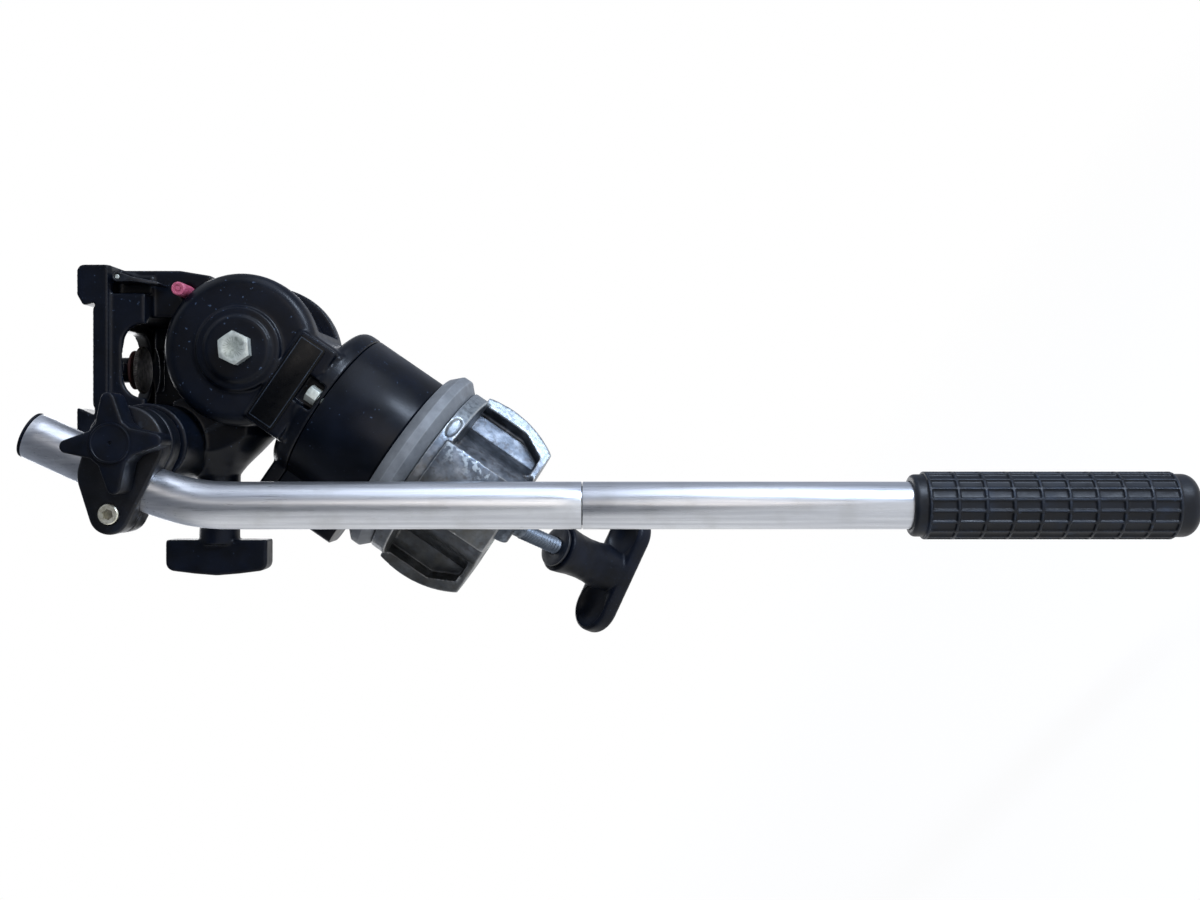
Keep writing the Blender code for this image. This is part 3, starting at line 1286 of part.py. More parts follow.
def make_tie_down(plastic, steel, fork, tie):
    """A rod that swings on a pin in the half-ball, with a washer and a winged knob."""
    half = TIE_PIN_LENGTH / 2
    turned("tie_pin", disc(TIE_PIN_RADIUS, -half, half), steel, fork, turn=STAND, steps=TINY_STEPS)
    eye_half = TIE_EYE_WIDTH / 2
    rim = disc(TIE_EYE_RADIUS, -eye_half, eye_half)
    eye = turned("tie_rod", rim, steel, tie, turn=STAND, steps=SMALL_STEPS)
    join(eye, bore("tie_shank", TIE_ROD_RADIUS, -TIE_ROD_LENGTH, -TIE_EYE_RADIUS / 2, tie))
    hole = TIE_PIN_RADIUS + GAP
    cut(eye, bore("eye_hole", hole, -TIE_EYE_WIDTH, TIE_EYE_WIDTH, tie, turn=STAND, steps=TINY_STEPS))
    hole = TIE_ROD_RADIUS + GAP
    high = -TIE_KNOB_START + GAP + TIE_WASHER
    washer = tube(hole, TIE_WASHER_RADIUS, high - TIE_WASHER, high)
    turned("tie_washer", washer, steel, tie, steps=SMALL_STEPS)
    plate = -TIE_KNOB_PLATE - TIE_BAR_THICKNESS / 2
    outline = rounded_box(TIE_BAR_LENGTH, TIE_BAR_WIDTH, TIE_BAR_WIDTH / 2 - GAP, 5)
    spin = (0, 0, TIE_KNOB_TURN)
    knob = slab("tie_knob", outline, TIE_BAR_THICKNESS, plastic, tie, turn=spin)
    for vertex in knob.data.vertices:
        vertex.co.z += plate
    bevel(knob, TIE_BAR_ROUNDING, 1)
    dish = (TIE_DISH_LENGTH / 2, TIE_DISH_WIDTH / 2, TIE_DISH_DEPTH)
    for side in (-1, 1):
        place = (*polar(TIE_KNOB_TURN, side * TIE_DISH_PLACE), -TIE_KNOB_PLATE)
        cut(knob, bead("dish", dish, tie, place, spin))
    edge = TIE_BAR_ROUNDING / 2
    profile = [
        (0, -TIE_KNOB_START),
        (TIE_KNOB_NECK_RADIUS - edge, -TIE_KNOB_START),
        (TIE_KNOB_NECK_RADIUS, -TIE_KNOB_START - edge),
        (TIE_KNOB_THROAT_RADIUS, -(TIE_KNOB_START + TIE_KNOB_PLATE) / 2),
        (TIE_KNOB_NECK_RADIUS, -TIE_KNOB_PLATE),
        (TIE_KNOB_NECK_RADIUS, plate),
        (0, plate),
    ]
    join(knob, turned("tie_knob_stem", profile, parent=tie, steps=2 * TINY_STEPS))
    cut(knob, bore("tie_knob_hole", hole, -TIE_ROD_LENGTH - TIE_KNOB_TRAVEL - 2 * GAP, 0, tie))


def smooth(objects):
    """Shades round pieces smooth and keeps their edges crisp."""
    for item in objects:
        if item.type == "MESH":
            item.data.shade_smooth()
            item.data.set_sharp_from_angle(angle=SMOOTH_ANGLE)


def main():
    black = finish_of("black_paint", (0.020, 0.022, 0.028), 0.45)
    grey = finish_of("grey_casting", (0.42, 0.43, 0.44), 0.50, 0.8)
    steel = finish_of("zinc_steel", (0.60, 0.61, 0.60), 0.35, 1.0)
    brass = finish_of("brass", (0.62, 0.47, 0.22), 0.40, 1.0)
    alloy = finish_of("satin_aluminium", (0.78, 0.79, 0.82), 0.30, 1.0)
    plastic = finish_of("black_nylon", (0.018, 0.020, 0.026), 0.40)
    rubber = finish_of("black_rubber", (0.015, 0.016, 0.020), 0.60)
    felt = finish_of("grey_felt", (0.20, 0.20, 0.20), 0.90)
    fibre = finish_of("red_fibre", (0.25, 0.08, 0.06), 0.70)
    red = finish_of("red_nylon", (0.45, 0.08, 0.13), 0.45)
    label = finish_of("black_label", (0.012, 0.013, 0.018), 0.30)

    pan = empty("pan_axis")
    tilt = empty("tilt_axis", pan, (0, 0, TILT_HEIGHT), (0, REST_TILT, 0))
    rosette = empty("rosette_axis", tilt, (CROSS_PLACE[0], 0, CROSS_PLACE[1]))
    bar = empty("bar_frame", rosette, (-CROSS_PLACE[0], 0, -CROSS_PLACE[1]))
    fork = empty("tie_fork_axis", None, (0, 0, TIE_PIVOT), (0, 0, TIE_TURN))
    tie = empty("tie_axis", None, (0, 0, TIE_PIVOT), (0, -TIE_LEAN, TIE_TURN))

    ball = make_half_ball(grey)
    make_base(ball, grey, steel, brass, felt)
    fork_the_ball(ball, fork)
    housing = make_housing(black, steel, brass, felt, plastic, pan)
    make_fork(housing, black, steel, label, pan)
    make_axle(steel, brass, felt, pan, tilt)
    make_tilt_head(black, tilt)
    make_camera_screw(steel, fibre, tilt)
    make_lever(black, steel, tilt)
    make_safety_pin(red, steel, tilt)
    make_tilt_lock(plastic, brass, tilt)
    make_clamp(black, plastic, steel, rosette, bar)
    make_bar(alloy, rubber, plastic, steel, bar)
    make_tie_down(plastic, steel, fork, tie)
    smooth(PARTS.objects)


clear_scene()
PARTS = collection("fluid_video_head")
CUTTERS = collection("cutters")
main()
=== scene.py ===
import json
import math

import bmesh
import bpy
from mathutils import Matrix, Vector

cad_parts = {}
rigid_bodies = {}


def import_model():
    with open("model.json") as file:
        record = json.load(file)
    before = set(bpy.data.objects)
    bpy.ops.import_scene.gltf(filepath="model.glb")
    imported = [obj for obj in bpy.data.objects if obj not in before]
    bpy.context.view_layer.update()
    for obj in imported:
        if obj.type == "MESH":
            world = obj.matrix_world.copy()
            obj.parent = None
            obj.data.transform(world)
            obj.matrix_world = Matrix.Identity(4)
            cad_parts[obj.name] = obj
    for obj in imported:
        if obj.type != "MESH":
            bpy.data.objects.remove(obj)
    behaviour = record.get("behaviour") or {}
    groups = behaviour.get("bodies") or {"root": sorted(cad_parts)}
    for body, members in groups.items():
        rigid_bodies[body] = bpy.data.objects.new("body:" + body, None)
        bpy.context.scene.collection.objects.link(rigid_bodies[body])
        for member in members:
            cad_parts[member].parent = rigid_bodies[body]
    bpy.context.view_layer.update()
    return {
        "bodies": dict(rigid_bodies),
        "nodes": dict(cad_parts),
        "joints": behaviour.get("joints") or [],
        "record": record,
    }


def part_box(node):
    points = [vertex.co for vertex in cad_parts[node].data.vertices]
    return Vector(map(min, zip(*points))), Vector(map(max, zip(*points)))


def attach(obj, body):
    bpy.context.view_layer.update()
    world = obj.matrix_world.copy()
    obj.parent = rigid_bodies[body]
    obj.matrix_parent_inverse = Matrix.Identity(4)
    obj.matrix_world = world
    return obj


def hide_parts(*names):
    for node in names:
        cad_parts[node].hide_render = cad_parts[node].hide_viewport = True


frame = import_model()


# Studio: a pale floor, white surroundings and soft panels. The head lies on its side in the
# photograph, so the camera is rolled: the picture's right is mostly down the pan axis.
PICTURE_RIGHT = Vector((0.56641, 0, -0.82413))
PICTURE_UP = Vector((0.82413, 0, 0.56641))
TOWARDS_CAMERA = Vector((0, -1, 0))
CAMERA_PLACE = Vector((0.0535, -0.611, -0.0443))
LENS = 39.39
SENSOR_WIDTH = 36
FLOOR_HEIGHT = -0.300
FLOOR_SIZE = 6.0
FLOOR_WHITE = "F4F5F7"
WORLD_TINT = "E6EEFF"
ROOM_DARK = 0.1
ROOM_BRIGHT = 0.5
SEEN_WHITE = 0.9
MIDDLE = Vector((0.03, 0, 0.02))
PICTURE_TOP = MIDDLE + PICTURE_UP * 0.9 + TOWARDS_CAMERA * 0.35
PANELS = {
    "panel_above": (MIDDLE + Vector((0.1, -0.2, 1.0)), MIDDLE, (0.9, 0.9), 2, "F2F7FF"),
    "panel_picture_top": (PICTURE_TOP, MIDDLE, (0.8, 0.4), 2.2, "EAF2FF"),
    "panel_right": (Vector((0.66, -0.42, 0.02)), Vector((0, -0.03, 0.1)), (0.1, 0.4), 7, "D8E8FF"),
    "panel_front": (MIDDLE + PICTURE_UP * 0.25 + TOWARDS_CAMERA, MIDDLE, (0.5, 0.5), 1.5, "FFF6EC"),
    "panel_back": (MIDDLE + Vector((-0.3, 1.0, 0.5)), MIDDLE, (0.9, 0.9), 8, "FFFFFF"),
}


def linear(code):
    """A linear colour from an sRGB hex code."""
    shades = [int(code[i : i + 2], 16) / 255 for i in (0, 2, 4)]
    return (*(s / 12.92 if s <= 0.04045 else ((s + 0.055) / 1.055) ** 2.4 for s in shades), 1.0)


def add_node(tree, kind, settings=None, **links):
    """Adds a node with its settings; a link goes to an input by name, and __ stands for a space."""
    node = tree.nodes.new(kind)
    for name, value in (settings or {}).items():
        if name in node.inputs:
            node.inputs[name].default_value = value
        else:
            setattr(node, name, value)
    for name, source in links.items():
        key = int(name[1:]) if name[0] == "_" and name[1:].isdigit() else name.replace("__", " ")
        if isinstance(source, bpy.types.NodeSocket):
            tree.links.new(source, node.inputs[key])
        else:
            node.inputs[key].default_value = source
    return node


def product(tree, first, second, operation="MULTIPLY"):
    return add_node(tree, "ShaderNodeMath", {"operation": operation}, _0=first, _1=second).outputs[0]


def seen_directly(tree):
    """What the camera and glass see is 1 in the first, what a reflection sees in the second."""
    path = add_node(tree, "ShaderNodeLightPath").outputs
    return product(tree, path["Is Camera Ray"], path["Is Transmission Ray"], "MAXIMUM"), path["Is Glossy Ray"]


def put(name, data):
    """Adds an object with this data to the scene."""
    thing = bpy.data.objects.new(name, data)
    bpy.context.scene.collection.objects.link(thing)
    return thing


world = bpy.data.worlds.new("white_studio")
world.use_nodes = True
bpy.context.scene.world = world
tree = world.node_tree
tree.nodes.clear()
seen = seen_directly(tree)[0]
around = add_node(tree, "ShaderNodeTexCoord").outputs["Generated"]
lean = PICTURE_UP * 0.5 - TOWARDS_CAMERA * 0.75
lean = add_node(tree, "ShaderNodeVectorMath", {"operation": "DOT_PRODUCT"}, _0=around, _1=lean)
room = {"From Min": -0.9, "From Max": 0.3, "To Min": ROOM_DARK, "To Max": ROOM_BRIGHT}
shade = add_node(tree, "ShaderNodeMapRange", room, Value=lean.outputs["Value"])
glow = add_node(tree, "ShaderNodeMix", {"data_type": "FLOAT"}, _0=seen, _2=shade.outputs[0], _3=1.0)
tint = add_node(tree, "ShaderNodeMix", {"data_type": "RGBA"}, _0=seen, _6=linear(WORLD_TINT), _7=(1, 1, 1, 1))
sky = add_node(tree, "ShaderNodeBackground", Color=tint.outputs[2], Strength=glow.outputs[0])
add_node(tree, "ShaderNodeOutputWorld", Surface=sky.outputs[0])

half = FLOOR_SIZE / 2
corners = [(-half, -half), (half, -half), (half, half), (-half, half)]
floor_mesh = bpy.data.meshes.new("floor")
floor_mesh.from_pydata([(x, y, FLOOR_HEIGHT) for x, y in corners], [], [(0, 1, 2, 3)])
floor = put("floor", floor_mesh)
pale = bpy.data.materials.new("pale_floor")
pale.use_nodes = True
tree = pale.node_tree
tree.nodes.clear()
either = product(tree, *seen_directly(tree), "MAXIMUM")
spot = add_node(tree, "ShaderNodeTexCoord").outputs["Object"]
away = add_node(tree, "ShaderNodeVectorMath", {"operation": "LENGTH"}, _0=spot).outputs["Value"]
fade = {"From Min": 0.4, "From Max": 1.1, "To Min": SEEN_WHITE, "To Max": 1.0}
fade = add_node(tree, "ShaderNodeMapRange", fade, Value=away)
matt = add_node(tree, "ShaderNodeBsdfDiffuse", Color=linear(FLOOR_WHITE)).outputs[0]
white = add_node(tree, "ShaderNodeEmission", Strength=1.0).outputs[0]
mixed = add_node(tree, "ShaderNodeMixShader", _0=product(tree, either, fade.outputs[0]), _1=matt, _2=white)
add_node(tree, "ShaderNodeOutputMaterial", Surface=mixed.outputs[0])
floor.data.materials.append(pale)

for name, (place, aim, size, power, colour) in PANELS.items():
    lamp = bpy.data.lights.new(name, "AREA")
    lamp.shape = "RECTANGLE"
    lamp.size, lamp.size_y = size
    lamp.energy = power
    lamp.color = linear(colour)[:3]
    panel = put(name, lamp)
    panel.location = place
    panel.rotation_euler = (aim - place).to_track_quat("-Z", "Y").to_euler()
    panel.visible_camera = False

lens = bpy.data.cameras.new("camera")
lens.lens = LENS
lens.sensor_width = SENSOR_WIDTH
camera = put("camera", lens)
axes = Matrix((PICTURE_RIGHT, PICTURE_UP, TOWARDS_CAMERA)).transposed().to_4x4()
camera.matrix_world = Matrix.Translation(CAMERA_PLACE) @ axes
bpy.context.scene.camera = camera
bpy.context.scene.view_settings.view_transform = "Standard"


# Tilting casting. One sand-fine aluminium casting carries the camera platform with its two hooks,
# the wall with the round window, the hub and the cross tube whose ends have rosette teeth. It is
# cast, blasted and painted satin black, so every edge is soft and the corners are worn grey.
def at(x, y, z):
    """A shift, in millimetres like all shapes here until they are finished."""
    return Matrix.Translation((x, y, z))


def turned(degrees, axis):
    return Matrix.Rotation(math.radians(degrees), 4, axis)


def polar(radius, degrees):
    return radius * math.cos(math.radians(degrees)), radius * math.sin(math.radians(degrees))


def arc(middle, radius, start, end, steps=8):
    """Points along an arc, angles in degrees."""
    turns = [polar(radius, start + (end - start) * k / steps) for k in range(steps + 1)]
    return [(middle[0] + x, middle[1] + y) for x, y in turns]


def rounded(points, steps=5):
    """An outline whose corners (x, y, radius) are rounded."""
    outline = []
    for k, (x, y, radius) in enumerate(points):
        here = Vector((x, y))
        before = Vector(points[k - 1][:2]) - here
        after = Vector(points[(k + 1) % len(points)][:2]) - here
        if radius <= 0:
            outline.append((x, y))
            continue
        half = before.angle(after) / 2
        back = min(radius / math.tan(half), before.length * 0.49, after.length * 0.49)
        radius = back * math.tan(half)
        middle = here + (before.normalized() + after.normalized()).normalized() * (radius / math.sin(half))
        first = here + before.normalized() * back - middle
        last = here + after.normalized() * back - middle
        start = math.degrees(math.atan2(first.y, first.x))
        turn = (math.degrees(math.atan2(last.y, last.x)) - start + 180) % 360 - 180
        outline += arc(middle, radius, start, start + turn, steps)
    return outline


def block(left, foot, right, head, radius, steps=5):
    """The outline of a rectangle with rounded corners."""
    corners = ((left, foot), (right, foot), (right, head), (left, head))
    return rounded([(*corner, radius) for corner in corners], steps)


def solid(form, frame=Matrix()):
    """A working object in millimetres; its faces are made to point out."""
    bmesh.ops.remove_doubles(form, verts=form.verts[:], dist=0.0005)
    bmesh.ops.recalc_face_normals(form, faces=form.faces[:])
    form.transform(frame)
    mesh = bpy.data.meshes.new("work")
    form.to_mesh(mesh)
    form.free()
    return put("work", mesh)


def lathe(profile, frame=Matrix(), steps=96):
    """A closed profile of (radius, height) points, turned about Z."""
    form = bmesh.new()
    rings = []
    for radius, height in profile:
        count = 1 if radius < 0.001 else steps
        places = [polar(radius, 360 * k / steps) for k in range(count)]
        rings.append([form.verts.new((*place, height)) for place in places])
    for k, low in enumerate(rings):
        high = rings[(k + 1) % len(rings)]
        if len(low) == len(high) == 1:
            continue
        for j in range(steps):
            corners = [ring[i % len(ring)] for ring, i in ((low, j), (low, j + 1), (high, j + 1), (high, j))]
            form.faces.new(list(dict.fromkeys(corners)))
    return solid(form, frame)


def disc(radius, low, high, frame=Matrix(), steps=64):
    return lathe([(0, low), (radius, low), (radius, high), (0, high)], frame, steps)


def tube(inner, outer, low, high, frame=Matrix(), steps=96):
    return lathe([(inner, low), (outer, low), (outer, high), (inner, high)], frame, steps)


def prism(outline, low, high, frame=Matrix()):
    """A flat outline with a thickness."""
    form = bmesh.new()
    foot = [form.verts.new((x, y, low)) for x, y in outline]
    head = [form.verts.new((x, y, high)) for x, y in outline]
    form.faces.new(foot[::-1])
    form.faces.new(head)
    for k in range(len(foot)):
        j = (k + 1) % len(foot)
        form.faces.new((foot[k], foot[j], head[j], head[k]))
    return solid(form, frame)


def box(low, high, frame=Matrix()):
    corners = [(low[0], low[1]), (high[0], low[1]), (high[0], high[1]), (low[0], high[1])]
    return prism(corners, low[2], high[2], frame)


def toothed(radius, smooth, depth, both, frame):
    """A disc with a smooth middle and radial teeth: deep on the lower face, or low on both."""
    form = bmesh.new()
    sizes = {"segments": 96, "radius1": radius, "radius2": radius, "depth": depth}
    bmesh.ops.create_cone(form, cap_ends=True, cap_tris=True, **sizes)
    for vertex in form.verts:
        x, y, z = vertex.co
        if math.hypot(x, y) > smooth and (both or z < 0):
            tooth = math.degrees(math.atan2(y, x)) / 15 % 1
            rise = 0.6 - 2.4 * min(tooth, 1 - tooth)
            vertex.co.z += math.copysign(rise, z) if both else -rise
    return solid(form, frame)


def settled(work, *steps):
    """Applies modifiers, given as (kind, settings), and keeps the result as the object's mesh."""
    for kind, settings in steps:
        step = work.modifiers.new("step", kind)
        for name, value in settings.items():
            setattr(step, name, value)
    graph = bpy.context.evaluated_depsgraph_get()
    mesh = bpy.data.meshes.new_from_object(work.evaluated_get(graph), depsgraph=graph)
    work.modifiers.clear()
    work.data = mesh
    return work


def combine(body, joined=(), removed=(), kept=()):
    """Joins shapes to a body, takes others out of it, then keeps what is inside the last ones."""
    steps = [("UNION", tool) for tool in joined] + [("DIFFERENCE", tool) for tool in removed]
    for operation, tool in steps + [("INTERSECT", tool) for tool in kept]:
        settled(body, ("BOOLEAN", {"operation": operation, "object": tool, "solver": "EXACT"}))
        bpy.data.objects.remove(tool)
    return body


def merged(*works):
    """Several shapes in one mesh, as they are."""
    form = bmesh.new()
    for work in works:
        form.from_mesh(work.data)
        bpy.data.objects.remove(work)
    return solid(form)


def softened(work, grain, rounds, share=1.0):
    """The soft edges of a casting or moulding: an even fine mesh that is smoothed a little."""
    return settled(
        work,
        ("REMESH", {"mode": "VOXEL", "voxel_size": grain}),
        ("SMOOTH", {"factor": 0.5, "iterations": rounds}),
        ("DECIMATE", {"ratio": share}),
    )


def bevelled(work, width, steps=2, angle=30):
    settings = {"width": width, "segments": steps, "limit_method": "ANGLE", "use_clamp_overlap": True}
    return settled(work, ("BEVEL", {**settings, "angle_limit": math.radians(angle)}))


def finished(work, name, material, rides, replaced=(), crease=None):
    """Names a piece, brings it to metres, gives it its material and says what it rides on."""
    work.data.transform(Matrix.Scale(0.001, 4))
    work.name = work.data.name = name
    work.data.shade_smooth()
    if crease:
        work.data.set_sharp_from_angle(angle=math.radians(crease))
    work.data.materials.clear()
    work.data.materials.append(material)
    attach(work, rides)
    if replaced:
        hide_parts(*replaced)
    return work


def new_material(name):
    material = bpy.data.materials.new(name)
    material.use_nodes = True
    return material, material.node_tree


def ramp(tree, source, *stops):
    """A colour ramp over a factor, from (place, hex colour or grey value) stops."""
    node = add_node(tree, "ShaderNodeValToRGB", Fac=source)
    points = node.color_ramp.elements
    while len(points) < len(stops):
        points.new(0.5)
    for point, (place, shade) in zip(points, stops):
        point.position = place
        point.color = linear(shade) if isinstance(shade, str) else (shade, shade, shade, 1)
    return node.outputs["Color"]


def noise(tree, size, detail):
    """Noise whose blobs are about this many millimetres across."""
    place = add_node(tree, "ShaderNodeTexCoord").outputs["Object"]
    options = {"Scale": 1000 / size, "Detail": detail}
    return add_node(tree, "ShaderNodeTexNoise", options, Vector=place).outputs["Fac"]


def mottled(tree, size, detail, *stops):
    return ramp(tree, noise(tree, size, detail), *stops)


def creases(tree, *stops):
    """A ramp from the hollow edges (below 0.5) to the sharp ones (above 0.5)."""
    return ramp(tree, add_node(tree, "ShaderNodeNewGeometry").outputs["Pointiness"], *stops)


def blend(tree, share, first, second):
    """Mixes two colours, given as hex codes or sockets."""
    values = [linear(c) if isinstance(c, str) else c for c in (first, second)]
    node = add_node(tree, "ShaderNodeMix", {"data_type": "RGBA"}, _0=share, _6=values[0], _7=values[1])
    return node.outputs[2]


def worn_edges(tree, low, high, speckle):
    """How bare the sharp edges are: most on corners, broken up by noise of this size in mm."""
    broken = mottled(tree, speckle, 4.0, (0.5, 0.0), (0.62, 1.0))
    return product(tree, creases(tree, (low, 0.0), (high, 1.0)), broken)


def coated(tree, colour, rough, metallic=0.0, specular=0.5, relief=()):
    """Gives a material its colour, sheen and relief.

    Each layer of relief is noise of a size in mm and a detail, or else a socket, and then the
    strength and the depth in mm.
    """
    shader = tree.nodes["Principled BSDF"]
    looks = {"Base Color": colour, "Roughness": rough, "Metallic": metallic, "Specular IOR Level": specular}
    normal = None
    for *source, strength, depth in relief:
        height = noise(tree, *source) if len(source) > 1 else source[0]
        links = {"Height": height} if normal is None else {"Height": height, "Normal": normal}
        settings = {"Strength": strength, "Distance": depth * 0.001}
        normal = add_node(tree, "ShaderNodeBump", settings, **links).outputs["Normal"]
    if normal:
        looks["Normal"] = normal
    for name, value in looks.items():
        if isinstance(value, bpy.types.NodeSocket):
            tree.links.new(value, shader.inputs[name])
        else:
            shader.inputs[name].default_value = value
    return shader


# Satin black paint over a blasted casting: a blue-black that catches soft light in broad sheets,
# with a fine cast grain, dusty greyer patches, tiny light specks and bare metal on the corners.
black_paint, tree = new_material("satin_black_paint_on_casting")
colour = blend(tree, mottled(tree, 14, 5.0, (0.36, 0.0), (0.72, 1.0)), "03060D", "070D18")
colour = blend(tree, mottled(tree, 1.6, 2.0, (0.71, 0.0), (0.745, 1.0)), colour, "364254")
bare = worn_edges(tree, 0.57, 0.65, 1.4)
colour = blend(tree, bare, colour, "566170")
sheen = mottled(tree, 9, 4.0, (0.3, 0.28), (0.75, 0.4))
coated(tree, colour, sheen, product(tree, bare, 0.6), 0.17, [(0.9, 3.0, 0.35, 0.06), (6, 2.0, 0.25, 0.12)])

# Frames: STAND turns Z to -Y, and the TILT ones lean with the platform. Each further one has its Z
# on the axis of a screw, pin or boss.
STAND = turned(90, "X")
TILT = at(0, 0, 112) @ turned(-34.5, "Y")
TILT_SIDE = TILT @ STAND
REAR = TILT @ at(0, 0, 17.8) @ turned(-90, "Y")
SCREW = TILT @ at(-7.3, 0, 0)
PIN = TILT_SIDE @ at(26.5, 26.2, 0)
LEVER = TILT_SIDE @ at(31.8, 53.0, 0)
CROSS = (-41.8, 36.1)
CROSS_AXIS = TILT_SIDE @ at(*CROSS, 0)

# The carrier: a hooked deck, walls a little inside its edge, and a hub on a column. The lock's boss
# flares into the hub. An oval opening in the deck leaves one bridge to the camera screw's boss, and
# a backing closes the window behind the screw, with room for the screw to drop.
deck = [(-42.5, 57.6), (37.3, 57.6)] + arc((34.3, 68.3), 3.0, 0, 90)
deck += [(23.9, 71.3), (19.3, 68.6), (20.6, 63.5), (18.5, 63.5), (18.5, 64.3)]
deck += [(-25.1, 64.3), (-25.1, 63.5), (-29.1, 63.5), (-25.9, 70.6), (-25.9, 71.3)]
deck += arc((-36.0, 70.1), 1.2, 90, 150, 4) + [(-42.5, 61.5)]
walls = [(-42.5, 41.8), (33.4, 41.8), (33.4, 47.9), (37.3, 57.6), (37.3, 58.6), (-42.5, 58.6)]
column = [(0, 14.25), (34.0, 16.0), (36.3, 30.0), (36.3, 54.0), (-40.5, 54.0), (-40.5, 27.0), (-30.0, 8.0)]
boss = [(0, 14), (9.5, 14), (9.5, 78.7), (8.7, 79.7), (0, 79.7)]
flare = [(0, 26), (27, 26), (26, 38), (22.3, 42), (19.2, 45.3), (16.3, 48.1), (12.5, 52), (9.4, 56), (0, 56)]
flare = combine(lathe(flare, REAR), kept=[box((-60, -19.4, -20), (-20, 19.4, 60), TILT)])
oval = arc((-6, 14), 16.5, 0, 180, 24)
oval = [(x, y if y < 14.1 else 14 + (y - 14) * 0.85) for x, y in oval + [(-x - 12, -y) for x, y in oval]]
bridge = [disc(5.9, 50, 72, SCREW, 48), box((-9.8, -40, 50), (-4.8, 0, 72), TILT)]
backing = combine(box((-24, 6, 15), (13, 19, 50), TILT), removed=[disc(11.9, 45.9, 52, SCREW)])
near_window = rounded([(-21.5, 33, 6), (11.5, 33, 6), (11.5, 52, 9), (-21.5, 52, 9)])
bore = [(0, -22.5), (10.6, -22.5), (10.6, -8.2), (4.6, -8.2)]
bore += [(radius, -height) for radius, height in bore[::-1]]
casting = combine(
    prism(deck, -33, 33, TILT_SIDE),
    [
        prism(walls, -31.4, 31.4, TILT_SIDE),
        prism(column, -20.35, 20.35, TILT_SIDE),
        disc(28.5, -20.5, 20.5, TILT_SIDE, 96),
        toothed(17.5, 9, 91.8, True, CROSS_AXIS),
        lathe(boss, REAR),
        flare,
    ],
    [
        prism(block(-26.5, -28, 15, 28, 6), 33, 58.3, TILT),
        disc(16.5, -35, 35, TILT_SIDE @ at(-5.8, 35.4, 0), 96),
        combine(prism(oval, 52, 70, TILT), removed=bridge),
        prism(near_window, 26, 35, TILT_SIDE),
        box((24.8, -36, 39.8), (39.3, -21.5, 56.5), TILT),
        disc(3.3, 12.0, 36, PIN, 32),
        disc(1.3, 17.0, 36, LEVER, 24),
        disc(5.06, 55, 72, SCREW, 48),
        disc(4.3, 29.4, 82, REAR, 40),
        lathe(bore, TILT_SIDE, 64),
        disc(3.3, 20, 49, CROSS_AXIS, 32),
        disc(3.3, -49, -20, CROSS_AXIS, 32),
    ],
)
combine(casting, [backing])
softened(casting, 0.62, 5, 0.62)
finished(casting, "tilting_casting", black_paint, "tilt_body", ["tilt_head"])


# Fork casting. Two thick round cheeks carry the tilt axle in cast bosses, on a boxed neck with a
# raised pad for the label and a round flange that is screwed down on the pan housing.
AXLE = at(0, 0, 112) @ STAND
cheeks = [(0, 36.5), (14.0, 36.5), (14.5, 36.0), (14.5, 35.0), (18.0, 35.0), (18.5, 34.6), (18.9, 33.0)]
cheeks += arc((28.5, 27.5), 5.5, 90, 0, 10) + arc((29.0, -28.0), 5.0, 0, -90, 10) + [(0, -33)]
flange = [(0, 78.5)] + arc((31.2, 72.5), 6.0, 90, 0, 10) + [(37.2, 68.3), (0, 68.3)]
ear = rounded([(-52, -13, 5), (-30, -13, 0), (-30, 13, 0), (-52, 13, 5)])
bay = arc((0, 0), 30, -40, -143, 40) + [(-36.7, -27.7), (-46, 46), (46, 46), (35.2, -29.6)]
fork = combine(
    lathe(cheeks, AXLE, 128),
    [
        prism(block(-24, -31.5, 24, 31.5, 4), 73, 112),
        lathe(flange, steps=128),
        disc(30.7, 66, 70.3),
        prism(ear, 68.3, 75.5),
        prism(block(-23, -9.25, 23, 9.25, 1.5), 30, 34.6, at(0, 0, 84.2) @ STAND),
    ],
    [
        prism([(-54, 70.3), (-46.8, 77.5), (-54, 77.5)], -15, 15, STAND),
        prism(bay, -22, 22, AXLE),
        disc(4.3, -40, 40, AXLE, 48),
        box((-4.5, -39.2, 70.3), (8.5, -29.7, 80.5)),
        box((-4.5, 29.7, 70.3), (8.5, 39.2, 80.5)),
        disc(2.1, 60, 72, at(2, -34, 0), 24),
        disc(2.1, 60, 72, at(2, 34, 0), 24),
    ],
)
softened(fork, 0.62, 5, 0.62)
finished(fork, "fork_casting", black_paint, "pan_body", ["fork_body"])


# Label plate. A thin black film on the raised pad, left bare, with a fine printed border line.
LABEL_HALF = (21.4, 6.65)
LABEL_HEIGHT = 86.05
BORDER_INSET = 1.1
BORDER_HALF_WIDTH = 0.00016


def in_mm(corners):
    """Both corners of a solid's box, in millimetres."""
    return [[value * 1000 for value in corner] for corner in corners]


film, tree = new_material("black_printed_film")
place = add_node(tree, "ShaderNodeSeparateXYZ", Vector=add_node(tree, "ShaderNodeTexCoord").outputs["Object"])
rims = []
for axis, half, middle in (("X", LABEL_HALF[0], 0), ("Z", LABEL_HALF[1], LABEL_HEIGHT)):
    away = product(tree, place.outputs[axis], middle / 1000, "SUBTRACT")
    away = add_node(tree, "ShaderNodeMath", {"operation": "ABSOLUTE"}, _0=away).outputs[0]
    rims.append(product(tree, (half - BORDER_INSET) / 1000, away, "SUBTRACT"))
inward = product(tree, rims[0], rims[1], "MINIMUM")
line = add_node(tree, "ShaderNodeMath", {"operation": "COMPARE"}, _0=inward, _1=0.0, _2=BORDER_HALF_WIDTH)
inked = product(tree, line.outputs[0], mottled(tree, 5, 4.0, (0.3, 0.25), (0.7, 0.7)))
sheen = mottled(tree, 3, 4.0, (0.3, 0.22), (0.8, 0.4))
coated(tree, blend(tree, inked, "020305", "454E5A"), sheen, 0.0, 0.16, [(2.5, 3.0, 0.1, 0.03)])
low, high = in_mm(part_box("label_plate"))
